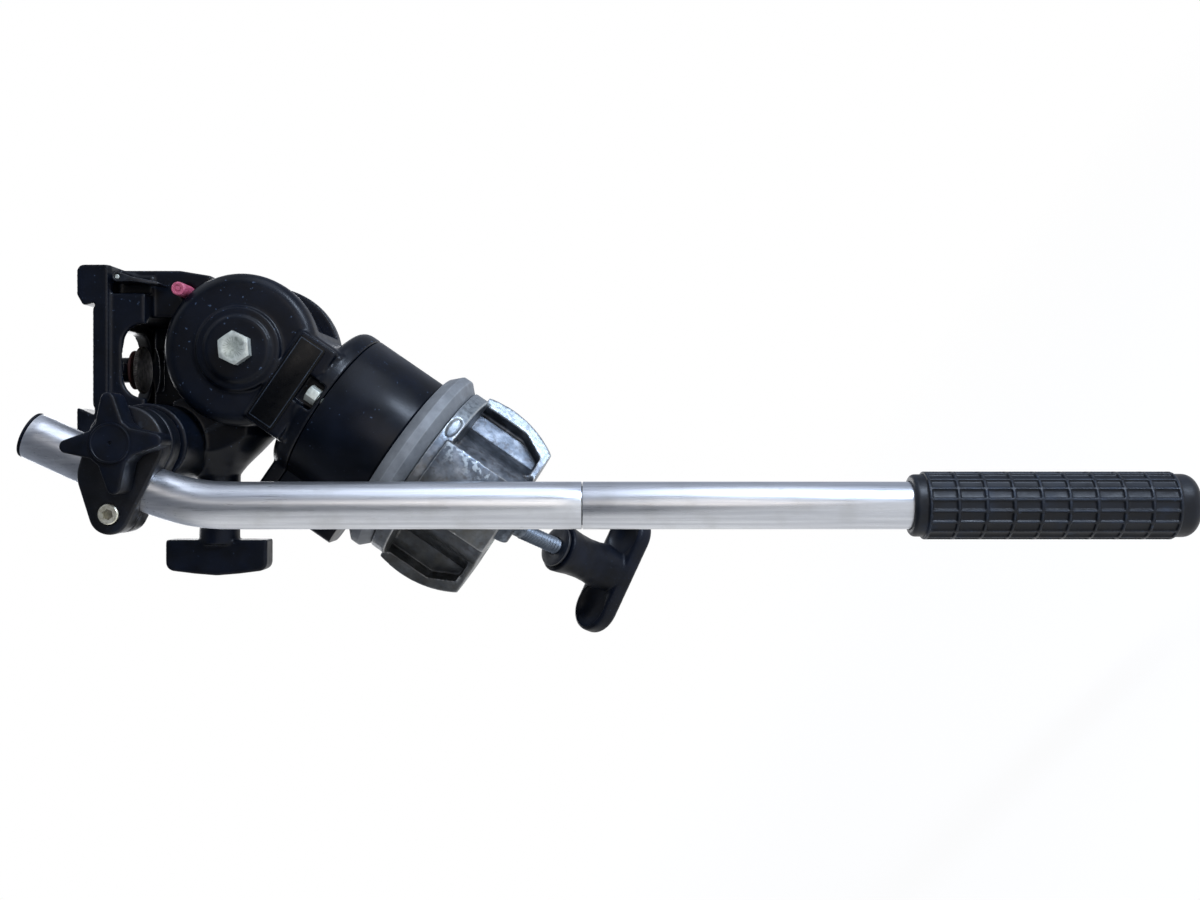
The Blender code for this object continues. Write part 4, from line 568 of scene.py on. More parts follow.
label = prism(block(low[0], low[2], high[0], high[2], 1.5, 6), -high[1], -low[1], STAND)
bevelled(label, 0.12, 2)
finished(label, "label_film", film, "pan_body", ["label_plate"], 40)


# Pan housing. A turned aluminium drum, painted like the castings, with a split ear at the rear
# that the pan lock's stud draws together round the drag drum.
EAR_HOLE = at(-45.2, 0, 52)
drum = [(36.8, 68), (37.1, 67.6), (37.1, 32.4), (36.3, 31.6), (34.8, 31.6), (34.8, 33.9), (30.7, 33.9)]
drum += [(30.7, 31.6), (22.0, 31.6), (22.0, 36.8), (31.0, 36.8), (31.0, 68)]
ear = rounded([(-52, -13, 5), (-32, -13, 0), (-32, 13, 0), (-52, 13, 5)], 8)
nut_seat = prism([polar(5.95, 60 * k) for k in range(6)], 8.2, 15, EAR_HOLE @ STAND @ turned(30, "Z"))
slit = box((-54, -1, 35.6), (-29, 1, 70))
housing = lathe(drum, steps=160)
combine(housing, [prism(ear, 34, 68)], [slit, disc(3.3, -15, 15, EAR_HOLE @ STAND, 40), nut_seat])
bevelled(housing, 0.5, 3, 40)
finished(housing, "pan_drum", black_paint, "pan_body", ["pan_housing"], 50)


# Base ring. A cast zinc ring, chamfered and only tumbled, on which the head turns.
WINGS = (-85, 35, 155)
zinc, tree = new_material("bare_zinc_casting")
tones = mottled(tree, 7, 4.0, (0.3, "5A5D60"), (0.52, "64676A"), (0.72, "707376"))
tones = blend(tree, mottled(tree, 2.2, 5.0, (0.52, 0.0), (0.68, 0.25)), tones, "4C4B4B")
# The sharp edges are painted near white: a painted highlight.
tones = blend(tree, creases(tree, (0.515, 0.0), (0.57, 0.8)), tones, "E2E4E6")
sheen = mottled(tree, 3, 4.0, (0.3, 0.6), (0.75, 0.7))
coated(tree, tones, sheen, 0.25, relief=[(0.7, 4.0, 0.4, 0.06), (4, 3.0, 0.15, 0.1)])
ring = lathe([(10.3, 18), (41.3, 18), (45.8, 22.5), (45.8, 26.5), (41.3, 31), (10.3, 31)], steps=160)
bevelled(ring, 0.45, 3, 25)
combine(ring, removed=[disc(2.3, 17, 26.3, at(*polar(20, wing), 0), 24) for wing in WINGS])
finished(ring, "base_ring_casting", zinc, "base", ["base_ring"], 30)


# Half-ball. A zinc casting under the ring: a truncated ball left standing as three wings, whose
# flanks are pocketed and whose rims are rubbed bright by the tripod's bowl. That brightness is
# strongest on the wing towards +X and flaky in front, which is partly wear and partly painted light;
# the far left (-X) has a brownish painted shade, and the sharp edges have a painted highlight.
BALL_RADIUS = 47.5
BALL_TOP = 12.7
BALL_FOOT = -27.0
CORE_RADIUS = 24
WING_HALF = 16
ball_zinc, tree = new_material("worn_zinc_half_ball_with_painted_light")
tones = mottled(tree, 9, 5.0, (0.32, "3E444C"), (0.5, "565C64"), (0.68, "7B8087"))
tones = blend(tree, mottled(tree, 2.6, 6.0, (0.5, 0.0), (0.66, 0.5)), tones, "332F2D")
# The sharp edges are painted lighter: a painted highlight.
tones = blend(tree, creases(tree, (0.515, 0.0), (0.56, 0.6)), tones, "D6D9DB")
place = add_node(tree, "ShaderNodeTexCoord").outputs["Object"]
away = add_node(tree, "ShaderNodeVectorMath", {"operation": "LENGTH"}, _0=place).outputs["Value"]
away = product(tree, away, 20.0)
forward = product(tree, add_node(tree, "ShaderNodeSeparateXYZ", Vector=place).outputs["X"], 20.0)
# Bright bare zinc on the ball's outer face and rims, limited to the +X side: partly wear, partly painted
# light.
broad = ramp(tree, away, (0.83, 0.0), (0.86, 1.0))
broad = product(tree, broad, mottled(tree, 1.6, 5.0, (0.36, 0.45), (0.56, 1.0)))
broad = product(tree, broad, ramp(tree, forward, (0.42, 0.0), (0.56, 1.0)))
flakes = mottled(tree, 2.4, 5.0, (0.53, 0.0), (0.6, 1.0))
flakes = product(tree, flakes, ramp(tree, forward, (0.2, 0.0), (0.34, 0.9)))
flakes = product(tree, flakes, ramp(tree, away, (0.925, 0.0), (0.945, 1.0)))
rubbed_and_painted_light = product(tree, broad, flakes, "MAXIMUM")
tones = blend(tree, product(tree, rubbed_and_painted_light, 0.8), tones, "989FA3")
# A brownish painted shade on the -X side, away from the light.
painted_shade_brown = mottled(tree, 6, 4.0, (0.3, 0.4), (0.7, 1.0))
painted_shade_brown = product(tree, painted_shade_brown, ramp(tree, forward, (0.0, 0.6), (0.15, 0.0)))
tones = blend(tree, painted_shade_brown, tones, "5E5B52")
sheen = mottled(tree, 3, 4.0, (0.3, 0.3), (0.75, 0.52))
coated(tree, tones, sheen, 0.8, relief=[(0.8, 4.0, 0.45, 0.08), (5, 3.0, 0.25, 0.2)])

root = math.degrees(math.asin(WING_HALF / CORE_RADIUS))
slope_from, slope_to = (math.degrees(math.asin(height / BALL_RADIUS)) for height in (BALL_TOP, BALL_FOOT))
ball = [(0, BALL_TOP)] + arc((0, 0), BALL_RADIUS, slope_from, slope_to, 28) + [(0, BALL_FOOT)]
pocket = [(25.8, 12.4, 0.3), (25.8, -23.5, 0.3), (31.0, -23.5, 2.5), (38.0, -11.5, 2.5), (38.0, 12.4, 1.5)]
screw_hole = [(0, -29), (3.8, -29), (3.8, -22.7), (2.3, -22.7), (2.3, 20), (0, 20)]
star = []
removed = []
for wing in WINGS:
    along = Vector(polar(1, wing))
    across = Vector((-along.y, along.x)) * WING_HALF
    star += [tuple(along * 50 - across), tuple(along * 50 + across)]
    star += arc((0, 0), CORE_RADIUS, wing + root, wing + 120 - root, 16)
    for side in (-1, 1):
        floor = [(27.1, side * 9.37), (27.1, side * 19.4), (18.1, side * 19.4), (18.1, side * 15.9)][::side]
        depths = sorted((side * 9.5, side * 18.2))
        removed.append(prism(rounded(pocket), *depths, turned(wing, "Z") @ STAND))
        removed.append(prism(floor, -23.8, 12.9, turned(wing, "Z")))
    removed.append(lathe(screw_hole, at(*polar(20, wing), 0), 24))
ball = combine(lathe(ball, steps=160), kept=[prism(star, -60, 60)])
PIVOT = at(0, 0, -25) @ turned(80.5, "Z")
removed.append(box((-12.5, -7.3, -4), (12.5, 7.3, 8.6), PIVOT))
removed.append(disc(2.8, -14.8, 26, PIVOT @ STAND, 24))
oval = at(0, 0, 14.2) @ turned(37, "Z") @ Matrix.Diagonal((2.2, 1, 1, 1)) @ STAND
removed.append(disc(2.6, 41.3, 47, oval, 40))
combine(ball, [disc(42.5, 10.7, 17.7, steps=160)], removed)
softened(ball, 0.55, 4, 0.62)
finished(ball, "half_ball_casting", ball_zinc, "base", ["half_ball"])


# Tilt bolt. A zinc-plated hexagon bolt with a washer face and chamfered corners; its shank runs
# right through both cheeks to a plain nut and washer on the far side.
plated, tree = new_material("dull_zinc_plating")
tones = mottled(tree, 1.6, 6.0, (0.3, "7E837C"), (0.52, "959B93"), (0.7, "ABB1A8"))
tones = blend(tree, mottled(tree, 0.7, 5.0, (0.54, 0.0), (0.66, 0.4)), tones, "6E6F69")
# The sharp edges are painted lighter: a painted highlight.
tones = blend(tree, creases(tree, (0.51, 0.0), (0.56, 0.25)), tones, "E4E7E2")
sheen = mottled(tree, 1.2, 4.0, (0.3, 0.3), (0.75, 0.5))
coated(tree, tones, sheen, 0.4, relief=[(0.5, 4.0, 0.35, 0.04), (2.0, 3.0, 0.2, 0.06)])
SEAT = 36.5


def hexagon(flats, turn=0.0, corner=0.35):
    """A hexagon across its flats, with slightly rounded corners."""
    return rounded([(*polar(flats / math.sqrt(3), 60 * k + turn), corner) for k in range(6)], 3)


def hexagon_head(flats, low, high, dish, frame, turn=0.0):
    """A pressed hexagon head: the corners are turned down and the top has a shallow dish."""
    reach = flats / math.sqrt(3) + 1
    fall = (reach - flats / 2) * 0.55
    crown = [(0, low - 1), (reach, low - 1), (reach, high - fall), (flats / 2 - 0.15, high), (0, high)]
    head = combine(prism(hexagon(flats, turn), low, high, frame), kept=[lathe(crown, frame, 72)])
    if dish:
        hollow = [(0, high - dish), (flats * 0.29, high - dish), (flats * 0.36, high + 0.01)]
        hollow += [(flats * 0.36, high + 1), (0, high + 1)]
        combine(head, removed=[lathe(hollow, frame, 48)])
    return head


bolt = hexagon_head(13, SEAT + 0.3, SEAT + 5.6, 0.35, AXLE, 39)
shank = lathe([(0, -43.0), (3.6, -43.0), (4.0, -42.5), (4.0, SEAT + 1), (0, SEAT + 1)], AXLE, 48)
combine(bolt, [shank, disc(6.3, SEAT + 0.02, SEAT + 0.5, AXLE, 64)])
bevelled(bolt, 0.22, 2, 35)
finished(bolt, "tilt_bolt_plated", plated, "pan_body", ["tilt_bolt"], 40)
low, high = in_mm(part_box("tilt_nut"))
nut = combine(hexagon_head(13, -high[1], -low[1], 0, AXLE, 30), removed=[disc(4.25, -60, 0, AXLE, 48)])
bevelled(nut, 0.25, 2, 35)
finished(nut, "tilt_nut_plated", plated, "pan_body", ["tilt_nut"], 40)
low, high = in_mm(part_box("tilt_washer"))
washer = tube(4.3, 8.0, -high[1], -low[1], AXLE, 72)
bevelled(washer, 0.3, 3, 35)
finished(washer, "tilt_washer_plated", plated, "pan_body", ["tilt_washer"], 40)

# Flange screws. Two plated hexagon screws in the notches of the fork's flange hold it on the drum;
# their rolled thread shows a little below the head.
for side, name in ((-1, "near"), (1, "far")):
    node = f"flange_screw_{name}"
    low, high = in_mm(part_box(node))
    top, foot = high[2], low[2]
    place = at(2, side * 34.0, 0)
    stem = [(0, foot), (1.4, foot)]
    level = foot + 0.4
    while level < top - 5.6:
        stem += [(1.78, level), (1.45, level + 0.2)]
        level += 0.5
    stem += [(1.45, top - 4.8), (0, top - 4.8)]
    screw = combine(hexagon_head(7, top - 5.2, top, 0.4, place, 12), [lathe(stem, place, 32)])
    bevelled(screw, 0.15, 2, 45)
    finished(screw, f"flange_screw_plated_{name}", plated, "pan_body", [node], 40)


# Camera screw. A captive steel screw under the platform, with a knurled brown-grey disc that is
# turned through the window, and a fibre washer above it.
KNURLS = 60
THREAD_FOOT = 56.4
THREAD_TOP = 69.0
THREAD_PITCH = 1.27
oiled, tree = new_material("oil_blackened_steel")
tones = mottled(tree, 2.5, 5.0, (0.3, "403C38"), (0.55, "625D58"), (0.75, "86807A"))
coated(tree, tones, mottled(tree, 1.5, 4.0, (0.3, 0.4), (0.75, 0.6)), 0.7, relief=[(0.6, 3.0, 0.35, 0.05)])
knurl = [polar(11.0 if k % 2 else 10.55, 180 * k / KNURLS) for k in range(2 * KNURLS)]
rim = [(0, 52.6), (10.6, 52.6), (11.1, 53.1), (11.1, 53.8), (10.6, 54.3), (0, 54.3)]
wheel = combine(prism(knurl, 52.6, 54.3, SCREW), kept=[lathe(rim, SCREW, 120)])
thread = [(0, 53.5), (4.2, 53.5)]
level = THREAD_FOOT
while level < THREAD_TOP:
    thread += [(4.0, level), (4.74, level + 0.62)]
    level += THREAD_PITCH
combine(wheel, [lathe(thread + [(3.6, 69.8), (0, 69.8)], SCREW, 48)])
finished(wheel, "camera_screw_turned", oiled, "screw", ["camera_screw"], 35)
fibre, tree = new_material("pressed_red_fibre")
coated(tree, mottled(tree, 1.2, 5.0, (0.3, "2E1210"), (0.7, "451C18")), 0.75, relief=[(0.4, 3.0, 0.4, 0.05)])
ring = tube(5.06, 9.0, 56.55, 57.6, SCREW, 72)
bevelled(ring, 0.25, 2)
finished(ring, "camera_screw_fibre_washer", fibre, "screw_washer", ["camera_screw_washer"], 40)

# Plate lock lever. A thin blade in smooth black enamel, rolled round its pin at the platform's
# front corner.
enamel, tree = new_material("smooth_black_enamel")
tones = mottled(tree, 3, 4.0, (0.3, "04070E"), (0.7, "0C1420"))
coated(tree, tones, mottled(tree, 2, 4.0, (0.3, 0.3), (0.7, 0.42)), relief=[(0.6, 3.0, 0.2, 0.03)])
tip = Vector((28.8 - 31.8, 35.2 - 53.0))
along = tip.normalized()
across = Vector((-along.y, along.x))
lean = math.degrees(math.atan2(across.y, across.x))
blade = [tip * 0.35 - across, tip - across * 0.6, tip + along * 0.6, tip + across * 0.6, tip * 0.35 + across]
blade = arc((0, 0), 2.2, lean, lean + 180, 16) + [tuple(point) for point in blade]
lever = combine(prism(blade, 22.2, 34.5, LEVER), removed=[disc(1.3, 20, 36, LEVER, 24)])
bevelled(lever, 0.35, 3, 40)
finished(lever, "plate_lock_blade", enamel, "plate_lever", ["plate_lock_lever"], 40)

# Safety pin. A short moulded pin that is pressed in to free the plate: once red nylon, now faded
# to a dusty pink, with a flat face that has a small ring in it.
SHOULDER = 16.0
pink, tree = new_material("faded_red_nylon")
tones = mottled(tree, 1.4, 4.0, (0.3, "86304A"), (0.7, "AE5870"))
shader = coated(tree, tones, 0.5, relief=[(0.6, 3.0, 0.3, 0.05)])
shader.inputs["Subsurface Weight"].default_value = 0.08
shader.inputs["Subsurface Radius"].default_value = (0.002, 0.0008, 0.0008)
end = -in_mm(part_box("safety_pin"))[1][1]
face = [(0, 34.9), (1.0, 34.9), (1.15, 34.65), (1.45, 34.65), (1.6, 34.95), (2.35, 34.95)]
profile = face + arc((2.4, 34.4), 0.58, 80, 0, 5) + [(3.0, SHOULDER), (1.4, SHOULDER), (1.4, end), (0, end)]
finished(lathe(profile, PIN, 48), "safety_pin_moulded", pink, "safety", ["safety_pin"], 40)


# Tilt lock. A moulded black nylon paddle on a round stem, screwed into the boss behind the hub.
nylon, tree = new_material("moulded_black_nylon")
tones = mottled(tree, 10, 5.0, (0.35, "03060D"), (0.7, "080F1C"))
tones = blend(tree, mottled(tree, 1.3, 3.0, (0.70, 0.0), (0.76, 1.0)), tones, "27303D")
sheen = mottled(tree, 7, 4.0, (0.3, 0.34), (0.75, 0.5))
coated(tree, tones, sheen, 0.0, 0.16, [(0.7, 3.0, 0.28, 0.04), (5, 3.0, 0.2, 0.1)])
LOCK = TILT @ at(-79.7, 0, 17.8) @ turned(-90, "Y")
outline = [(-23.4, 6.2), (23.4, 6.2)] + arc((19.4, 16.7), 4.0, 0, 80, 10)
outline += [(10, 21.9), (0, 22.7), (-10, 21.9)] + arc((-19.4, 16.7), 4.0, 100, 180, 10)
paddle = prism(outline, -6.2, 6.2, LOCK @ STAND)
softened(paddle, 0.7, 1)
combine(paddle, [lathe([(0, 0.3), (8.6, 0.3), (9.2, 0.9), (9.2, 6.6), (9.0, 8.2), (0, 8.2)], LOCK, 64)])
softened(paddle, 0.55, 7, 0.7)
combine(paddle, [disc(4.0, -43.7, 3, LOCK, 48)])
finished(paddle, "tilt_lock_paddle", nylon, "tilt_lock", ["tilt_lock_knob"], 60)

# Pan lock. A small fluted nylon knob on the stud that draws the drum's ear together.
FLUTES = 8
EAR_AXIS = EAR_HOLE @ turned(-90, "X")
PAN_LOCK = at(0, 13, 0) @ EAR_AXIS
flutes = []
for k in range(96):
    around = 360 * k / 96
    dip = 0.5 - 0.5 * math.cos(math.radians(FLUTES * around))
    flutes.append(polar(8.5 - 0.9 * dip**1.5, around))
knob = prism(flutes, 4.3, 17.3, PAN_LOCK)
bevelled(knob, 0.9, 4, 40)
combine(knob, [disc(5.5, 0.3, 6, PAN_LOCK, 48)], [disc(3.3, -1, 10.9, PAN_LOCK, 32)])
finished(knob, "pan_lock_fluted_knob", nylon, "pan_lock", ["pan_lock_knob"], 40)


# Bar clamp. Two moulded halves of fibre-filled nylon close on the bar; the inner one has teeth
# that mesh with the cross tube's. A socket screw at the narrow end and the star knob draw them up.
filled, tree = new_material("fibre_filled_black_nylon")
tones = mottled(tree, 8, 6.0, (0.32, "04060B"), (0.6, "080C14"), (0.8, "101722"))
tones = blend(tree, mottled(tree, 0.9, 5.0, (0.62, 0.0), (0.70, 0.3)), tones, "39424F")
tones = blend(tree, worn_edges(tree, 0.53, 0.6, 2.2), tones, "343D4A")
sheen = mottled(tree, 5, 5.0, (0.3, 0.3), (0.75, 0.48))
coated(tree, tones, sheen, 0.0, 0.28, [(0.8, 4.0, 0.3, 0.05), (4, 3.0, 0.25, 0.12)])
GROOVE = (-55.13, 42.11)
CLAMP_SCREW = (-70.9, 42.7)
GROOVE_AXIS = TILT @ at(-55.13, -60, 42.11) @ turned(-155.5, "Y")
CLAMP_AXIS = TILT_SIDE @ at(*CLAMP_SCREW, 0)


def hull(circles, steps):
    """The outline of a belt round several circles (x, y, radius)."""
    points = []
    for k in range(steps):
        way = Vector(polar(1, 360 * k / steps))
        best = max(circles, key=lambda c: way.dot(c[:2]) + c[2])
        points.append((best[0] + best[2] * way.x, best[1] + best[2] * way.y))
    return points


clamp_outline = hull([(*CROSS, 15.8), (*GROOVE, 13.8), (*CLAMP_SCREW, 8.5)], 144)
for name, low, high in (("clamp_back", 48.2, 59.7), ("clamp_front", 60.3, 72.0)):
    half = prism(clamp_outline, low, high, TILT_SIDE)
    bevelled(half, 1.3, 4, 50)
    drills = [
        disc(10.3, -60, 60, GROOVE_AXIS, 96),
        disc(3.3, 40, 80, CROSS_AXIS, 40),
        disc(2.8, 49.2, 80, CLAMP_AXIS, 40),
    ]
    if name == "clamp_back":
        combine(half, [toothed(15, 7, 6, False, CROSS_AXIS @ at(0, 0, 49.95))])
    else:
        drills.append(disc(4.6, 67.8, 80, CLAMP_AXIS, 48))
    combine(half, removed=drills)
    finished(half, f"{name}_moulded", filled, "bar_clamp", [name], 35)

# Clamp screw. A zinc-plated socket screw with a finely knurled head, darker in its hollows such as the
# hexagon.
HEAD_KNURLS = 36
brassy, tree = new_material("yellow_zinc_plated_screw")
tones = mottled(tree, 2.2, 4.0, (0.35, "C2BFAC"), (0.55, "DAD8C8"), (0.75, "ECEADC"))
# Darker in the hollow edges, such as the hexagon socket.
tones = blend(tree, creases(tree, (0.42, 1.0), (0.49, 0.0)), tones, "1C1813")
coated(tree, tones, 0.38, 0.8, relief=[(0.5, 3.0, 0.35, 0.04)])


def socket_screw(radius, head, top, foot, shank, flats, frame):
    """A socket head cap screw that stands along the frame's Z."""
    knurl = [polar(radius - 0.12 * (k % 2), 180 * k / HEAD_KNURLS) for k in range(2 * HEAD_KNURLS)]
    under = top - head
    crown = [(0, under - 1), (radius, under - 1), (radius, top - 0.45), (radius - 0.45, top), (0, top)]
    stem = [(0, foot), (shank - 0.3, foot), (shank, foot + 0.3), (shank, under + 0.5), (0, under + 0.5)]
    screw = combine(prism(knurl, under, top, frame), kept=[lathe(crown, frame, 72)])
    socket = prism(hexagon(flats, 8, 0.05), top - head / 2, top + 1, frame)
    return combine(screw, [lathe(stem, frame, 40)], [socket])


screw = socket_screw(4.25, 5.0, 73.1, 49.45, 2.5, 4.0, CLAMP_AXIS)
finished(screw, "clamp_socket_screw", brassy, "bar_clamp", ["clamp_screw"], 30)

# Star knob. Moulded nylon: four arms with blunt ends, and a cap ring round a small gate mark.
outline = []
for arm in (4, 94, 184, 274):
    outline += arc(polar(17.7, arm), 2.8, arm - 78, arm + 78, 12)
    outline += arc((0, 0), 9.9, arm + 34, arm + 56, 6)
star = prism(outline, 74.4, 88.25, CROSS_AXIS)
softened(star, 0.5, 10, 0.7)
hub = [(0, 72.35), (7.6, 72.35), (7.8, 72.6), (7.8, 76), (0, 76)]
cap = [(0, 87), (8.35, 87), (8.35, 88.7), (8.0, 89.15), (7.4, 89.15), (7.2, 88.95), (0.9, 89.0), (0.6, 88.5)]
added = [lathe(hub, CROSS_AXIS, 72), lathe(cap + [(0, 88.5)], CROSS_AXIS, 96)]
combine(star, added, [disc(3.3, 70, 86.6, CROSS_AXIS, 40)])
finished(star, "star_knob_moulded", nylon, "star", ["star_knob"], 40)


# Pan bar. Drawn and anodised aluminium tube in two lengths, the lower one bent near its clamp; the
# satin surface has fine lengthwise scratches, a dull bloom and a few dark nicks.
alloy, tree = new_material("anodised_aluminium_tube")
place = add_node(tree, "ShaderNodeTexCoord").outputs["Object"]
place = add_node(tree, "ShaderNodeMapping", {"Rotation": (0, math.radians(34.5), 0)}, Vector=place).outputs[0]


def drawn_out(squeeze, scale, detail):
    """Noise that is stretched along the straight part of the bar."""
    along = add_node(tree, "ShaderNodeMapping", {"Scale": (1, 1, squeeze)}, Vector=place).outputs[0]
    options = {"Scale": scale, "Detail": detail}
    return add_node(tree, "ShaderNodeTexNoise", options, Vector=along).outputs["Fac"]


fine = drawn_out(0.02, 2600, 4.0)
tones = ramp(tree, drawn_out(0.02, 500, 5.0), (0.3, "B4B7BE"), (0.5, "C4C7CD"), (0.7, "D2D5DA"))
tones = blend(tree, mottled(tree, 12, 6.0, (0.5, 0.0), (0.72, 0.45)), tones, "AEB0B2")
nicks = ramp(tree, drawn_out(0.35, 260, 3.0), (0.70, 0.0), (0.73, 1.0))
nicks = product(tree, nicks, mottled(tree, 30, 2.0, (0.5, 0.0), (0.6, 1.0)))
tones = blend(tree, product(tree, nicks, 0.8), tones, "3A3D44")
sheen = ramp(tree, fine, (0.3, 0.26), (0.7, 0.38))
coated(tree, tones, sheen, 0.95, relief=[(fine, 0.12, 0.01), (20, 3.0, 0.1, 0.1), (nicks, -0.4, 0.05)])


def pipe(route, inner, outer, frame, steps=72):
    """A tube with open ends along a route of (x, z) points, in a plane of constant y."""
    form = bmesh.new()
    rings = []
    for k, point in enumerate(route):
        before, after = route[max(k - 1, 0)], route[min(k + 1, len(route) - 1)]
        side = Vector((-(after[1] - before[1]), after[0] - before[0])).normalized()
        ring = []
        for reach in (outer, inner):
            for j in range(steps):
                out, up = polar(reach, 360 * j / steps)
                ring.append(form.verts.new((point[0] + side.x * out, up, point[1] + side.y * out)))
        rings.append((ring[:steps], ring[steps:]))
    for j in range(steps):
        i = (j + 1) % steps
        for (outer_low, inner_low), (outer_high, inner_high) in zip(rings, rings[1:]):
            form.faces.new((outer_low[j], outer_low[i], outer_high[i], outer_high[j]))
            form.faces.new((inner_low[i], inner_low[j], inner_high[j], inner_high[i]))
        for outer_ring, inner_ring in (rings[0], rings[-1]):
            form.faces.new((outer_ring[j], outer_ring[i], inner_ring[i], inner_ring[j]))
    return solid(form, frame)


BAR_PLANE = TILT @ at(0, -60, 0)
STRAIGHT = TILT @ at(-67.70, -60, 0)
BAR_END = Vector((-38.5, 78.6))
BEND_MIDDLE = (14.30, -3.26)
BEND_RADIUS = 82.0
BEND_ANGLE = 24.5
bend = arc(BEND_MIDDLE, BEND_RADIUS, 180 - BEND_ANGLE, 180, 28)
route = [tuple(BAR_END.lerp(Vector(bend[0]), k / 12)) for k in range(12)] + bend
route += [(-67.70, BEND_MIDDLE[1] - 148.19 * k / 12) for k in range(1, 13)]
lower = pipe(route, 8.5, 10.0, BAR_PLANE)
bevelled(lower, 0.35, 2, 50)
finished(lower, "bar_lower_tube", alloy, "pan_bar", ["bar_lower"], 40)
upper = tube(8.5, 10.0, -404.4, -151.75, STRAIGHT, 96)
bevelled(upper, 0.4, 2, 50)
finished(upper, "bar_upper_tube", alloy, "pan_bar", ["bar_upper"], 40)

# End plug. A thin black nylon cap with a low rim, pressed into the bent end.
PLUG = BAR_PLANE @ at(BAR_END.x, 0, BAR_END.y) @ turned(BEND_ANGLE, "Y")
profile = [(0, 1.3), (8.8, 1.5)] + arc((9.4, 0.9), 0.6, 75, 0, 6)
profile += [(10.0, 0.32), (8.2, 0.32), (8.15, -8.0), (0, -8.0)]
finished(lathe(profile, PLUG), "bar_end_plug_moulded", nylon, "pan_bar", ["bar_end_plug"], 40)


# Grip. A moulded rubber sleeve with a smooth collar and a round nose; rings and lengthwise ribs
# stand proud of flat shallow cells, and the rubber has a dull blue-grey bloom. The ridges' sharp
# edges are painted lighter: partly wear, partly a painted highlight.
rubber, tree = new_material("moulded_black_rubber")
tones = mottled(tree, 12, 5.0, (0.34, "070A10"), (0.6, "0C1119"), (0.8, "172130"))
# The ridges' sharp edges are painted lighter: partly wear, partly a painted highlight.
ridge_wear_and_painted_highlight = product(tree, creases(tree, (0.51, 0.0), (0.57, 1.0)), mottled(tree, 7, 4.0, (0.4, 0.25), (0.7, 0.9)))
tones = blend(tree, ridge_wear_and_painted_highlight, tones, "2A3646")
sheen = mottled(tree, 6, 4.0, (0.3, 0.36), (0.75, 0.54))
coated(tree, tones, sheen, 0.0, 0.26, [(0.8, 4.0, 0.3, 0.05), (5, 3.0, 0.25, 0.15)])


def node_tree(name, *floats, whole=()):
    """A geometry node tree with an output, whole-number inputs and float inputs."""
    tree = bpy.data.node_groups.new(name, "GeometryNodeTree")
    tree.interface.new_socket("Geometry", in_out="OUTPUT", socket_type="NodeSocketGeometry")
    for label in (*whole, *floats):
        kind = "NodeSocketInt" if label in whole else "NodeSocketFloat"
        tree.interface.new_socket(label, in_out="INPUT", socket_type=kind)
    return tree, add_node(tree, "NodeGroupInput").outputs


def closed(tree, parts, material):
    """Ends a tree with its parts joined, made real and given their material."""
    joined = add_node(tree, "GeometryNodeJoinGeometry")
    for part in parts:
        tree.links.new(part, joined.inputs[0])
    real = add_node(tree, "GeometryNodeRealizeInstances", Geometry=joined.outputs[0])
    coloured = add_node(tree, "GeometryNodeSetMaterial", {"Material": material}, Geometry=real.outputs[0])
    add_node(tree, "NodeGroupOutput", Geometry=coloured.outputs[0])
    return tree


def swept(tree, curve, profile):
    """A closed profile drawn along a curve, as a mesh."""
    links = {"Curve": curve.outputs[0], "Profile__Curve": profile.outputs[0]}
    return add_node(tree, "GeometryNodeCurveToMesh", {"Fill Caps": True}, **links).outputs[0]


def grown(tree, values, frame=Matrix()):
    """Runs a tree on an empty mesh with its inputs set, and keeps the result as a plain mesh."""
    work = put("work", bpy.data.meshes.new("work"))
    step = work.modifiers.new("grow", "NODES")
    step.node_group = tree
    for socket in tree.interface.items_tree:
        if socket.in_out == "INPUT":
            step[socket.identifier] = values[socket.name]
    settled(work)
    form = bmesh.new()
    form.from_mesh(work.data)
    bpy.data.objects.remove(work)
    return solid(form, frame)


def grip_tree(material):
    """Rings and ribs over a many-sided core, whose flat sides are the floors of the cells."""
    floats = ("Pitch", "Radius", "Height", "Ring", "Rib")
    tree, given = node_tree("gridded_grip", *floats, whole=("Cells", "Rows"))
    length = product(tree, given["Rows"], given["Pitch"])
    proud = product(tree, given["Height"], 2.0)
    inner = product(tree, given["Radius"], given["Height"], "SUBTRACT")
    core = add_node(tree, "GeometryNodeMeshCylinder", Vertices=given["Cells"], Radius=inner, Depth=length)
    band = add_node(tree, "GeometryNodeCurvePrimitiveQuadrilateral", Width=proud, Height=given["Ring"])
    circle = add_node(tree, "GeometryNodeCurvePrimitiveCircle", {"Resolution": 90}, Radius=inner)
    ring = swept(tree, circle, band)
    start = add_node(tree, "ShaderNodeCombineXYZ", Z=product(tree, length, -0.5)).outputs[0]
    step = add_node(tree, "ShaderNodeCombineXYZ", Z=given["Pitch"]).outputs[0]
    count = product(tree, given["Rows"], 1.0, "ADD")
    line = {"Count": count, "Start__Location": start, "Offset": step}
    places = add_node(tree, "GeometryNodeMeshLine", **line).outputs[0]
    rings = add_node(tree, "GeometryNodeInstanceOnPoints", Points=places, Instance=ring).outputs[0]
    size = add_node(tree, "ShaderNodeCombineXYZ", X=proud, Y=given["Rib"], Z=length).outputs[0]
    rib = add_node(tree, "GeometryNodeMeshCube", Size=size).outputs[0]
    corners = add_node(tree, "GeometryNodeMeshCircle", Vertices=given["Cells"], Radius=inner).outputs[0]
    turn = product(tree, 2 * math.pi, given["Cells"], "DIVIDE")
    turn = product(tree, add_node(tree, "GeometryNodeInputIndex").outputs[0], turn)
    facing = add_node(tree, "ShaderNodeCombineXYZ", Z=turn).outputs[0]
    spokes = {"Points": corners, "Instance": rib, "Rotation": facing}
    ribs = add_node(tree, "GeometryNodeInstanceOnPoints", **spokes).outputs[0]
    return closed(tree, [core.outputs["Mesh"], rings, ribs], material)


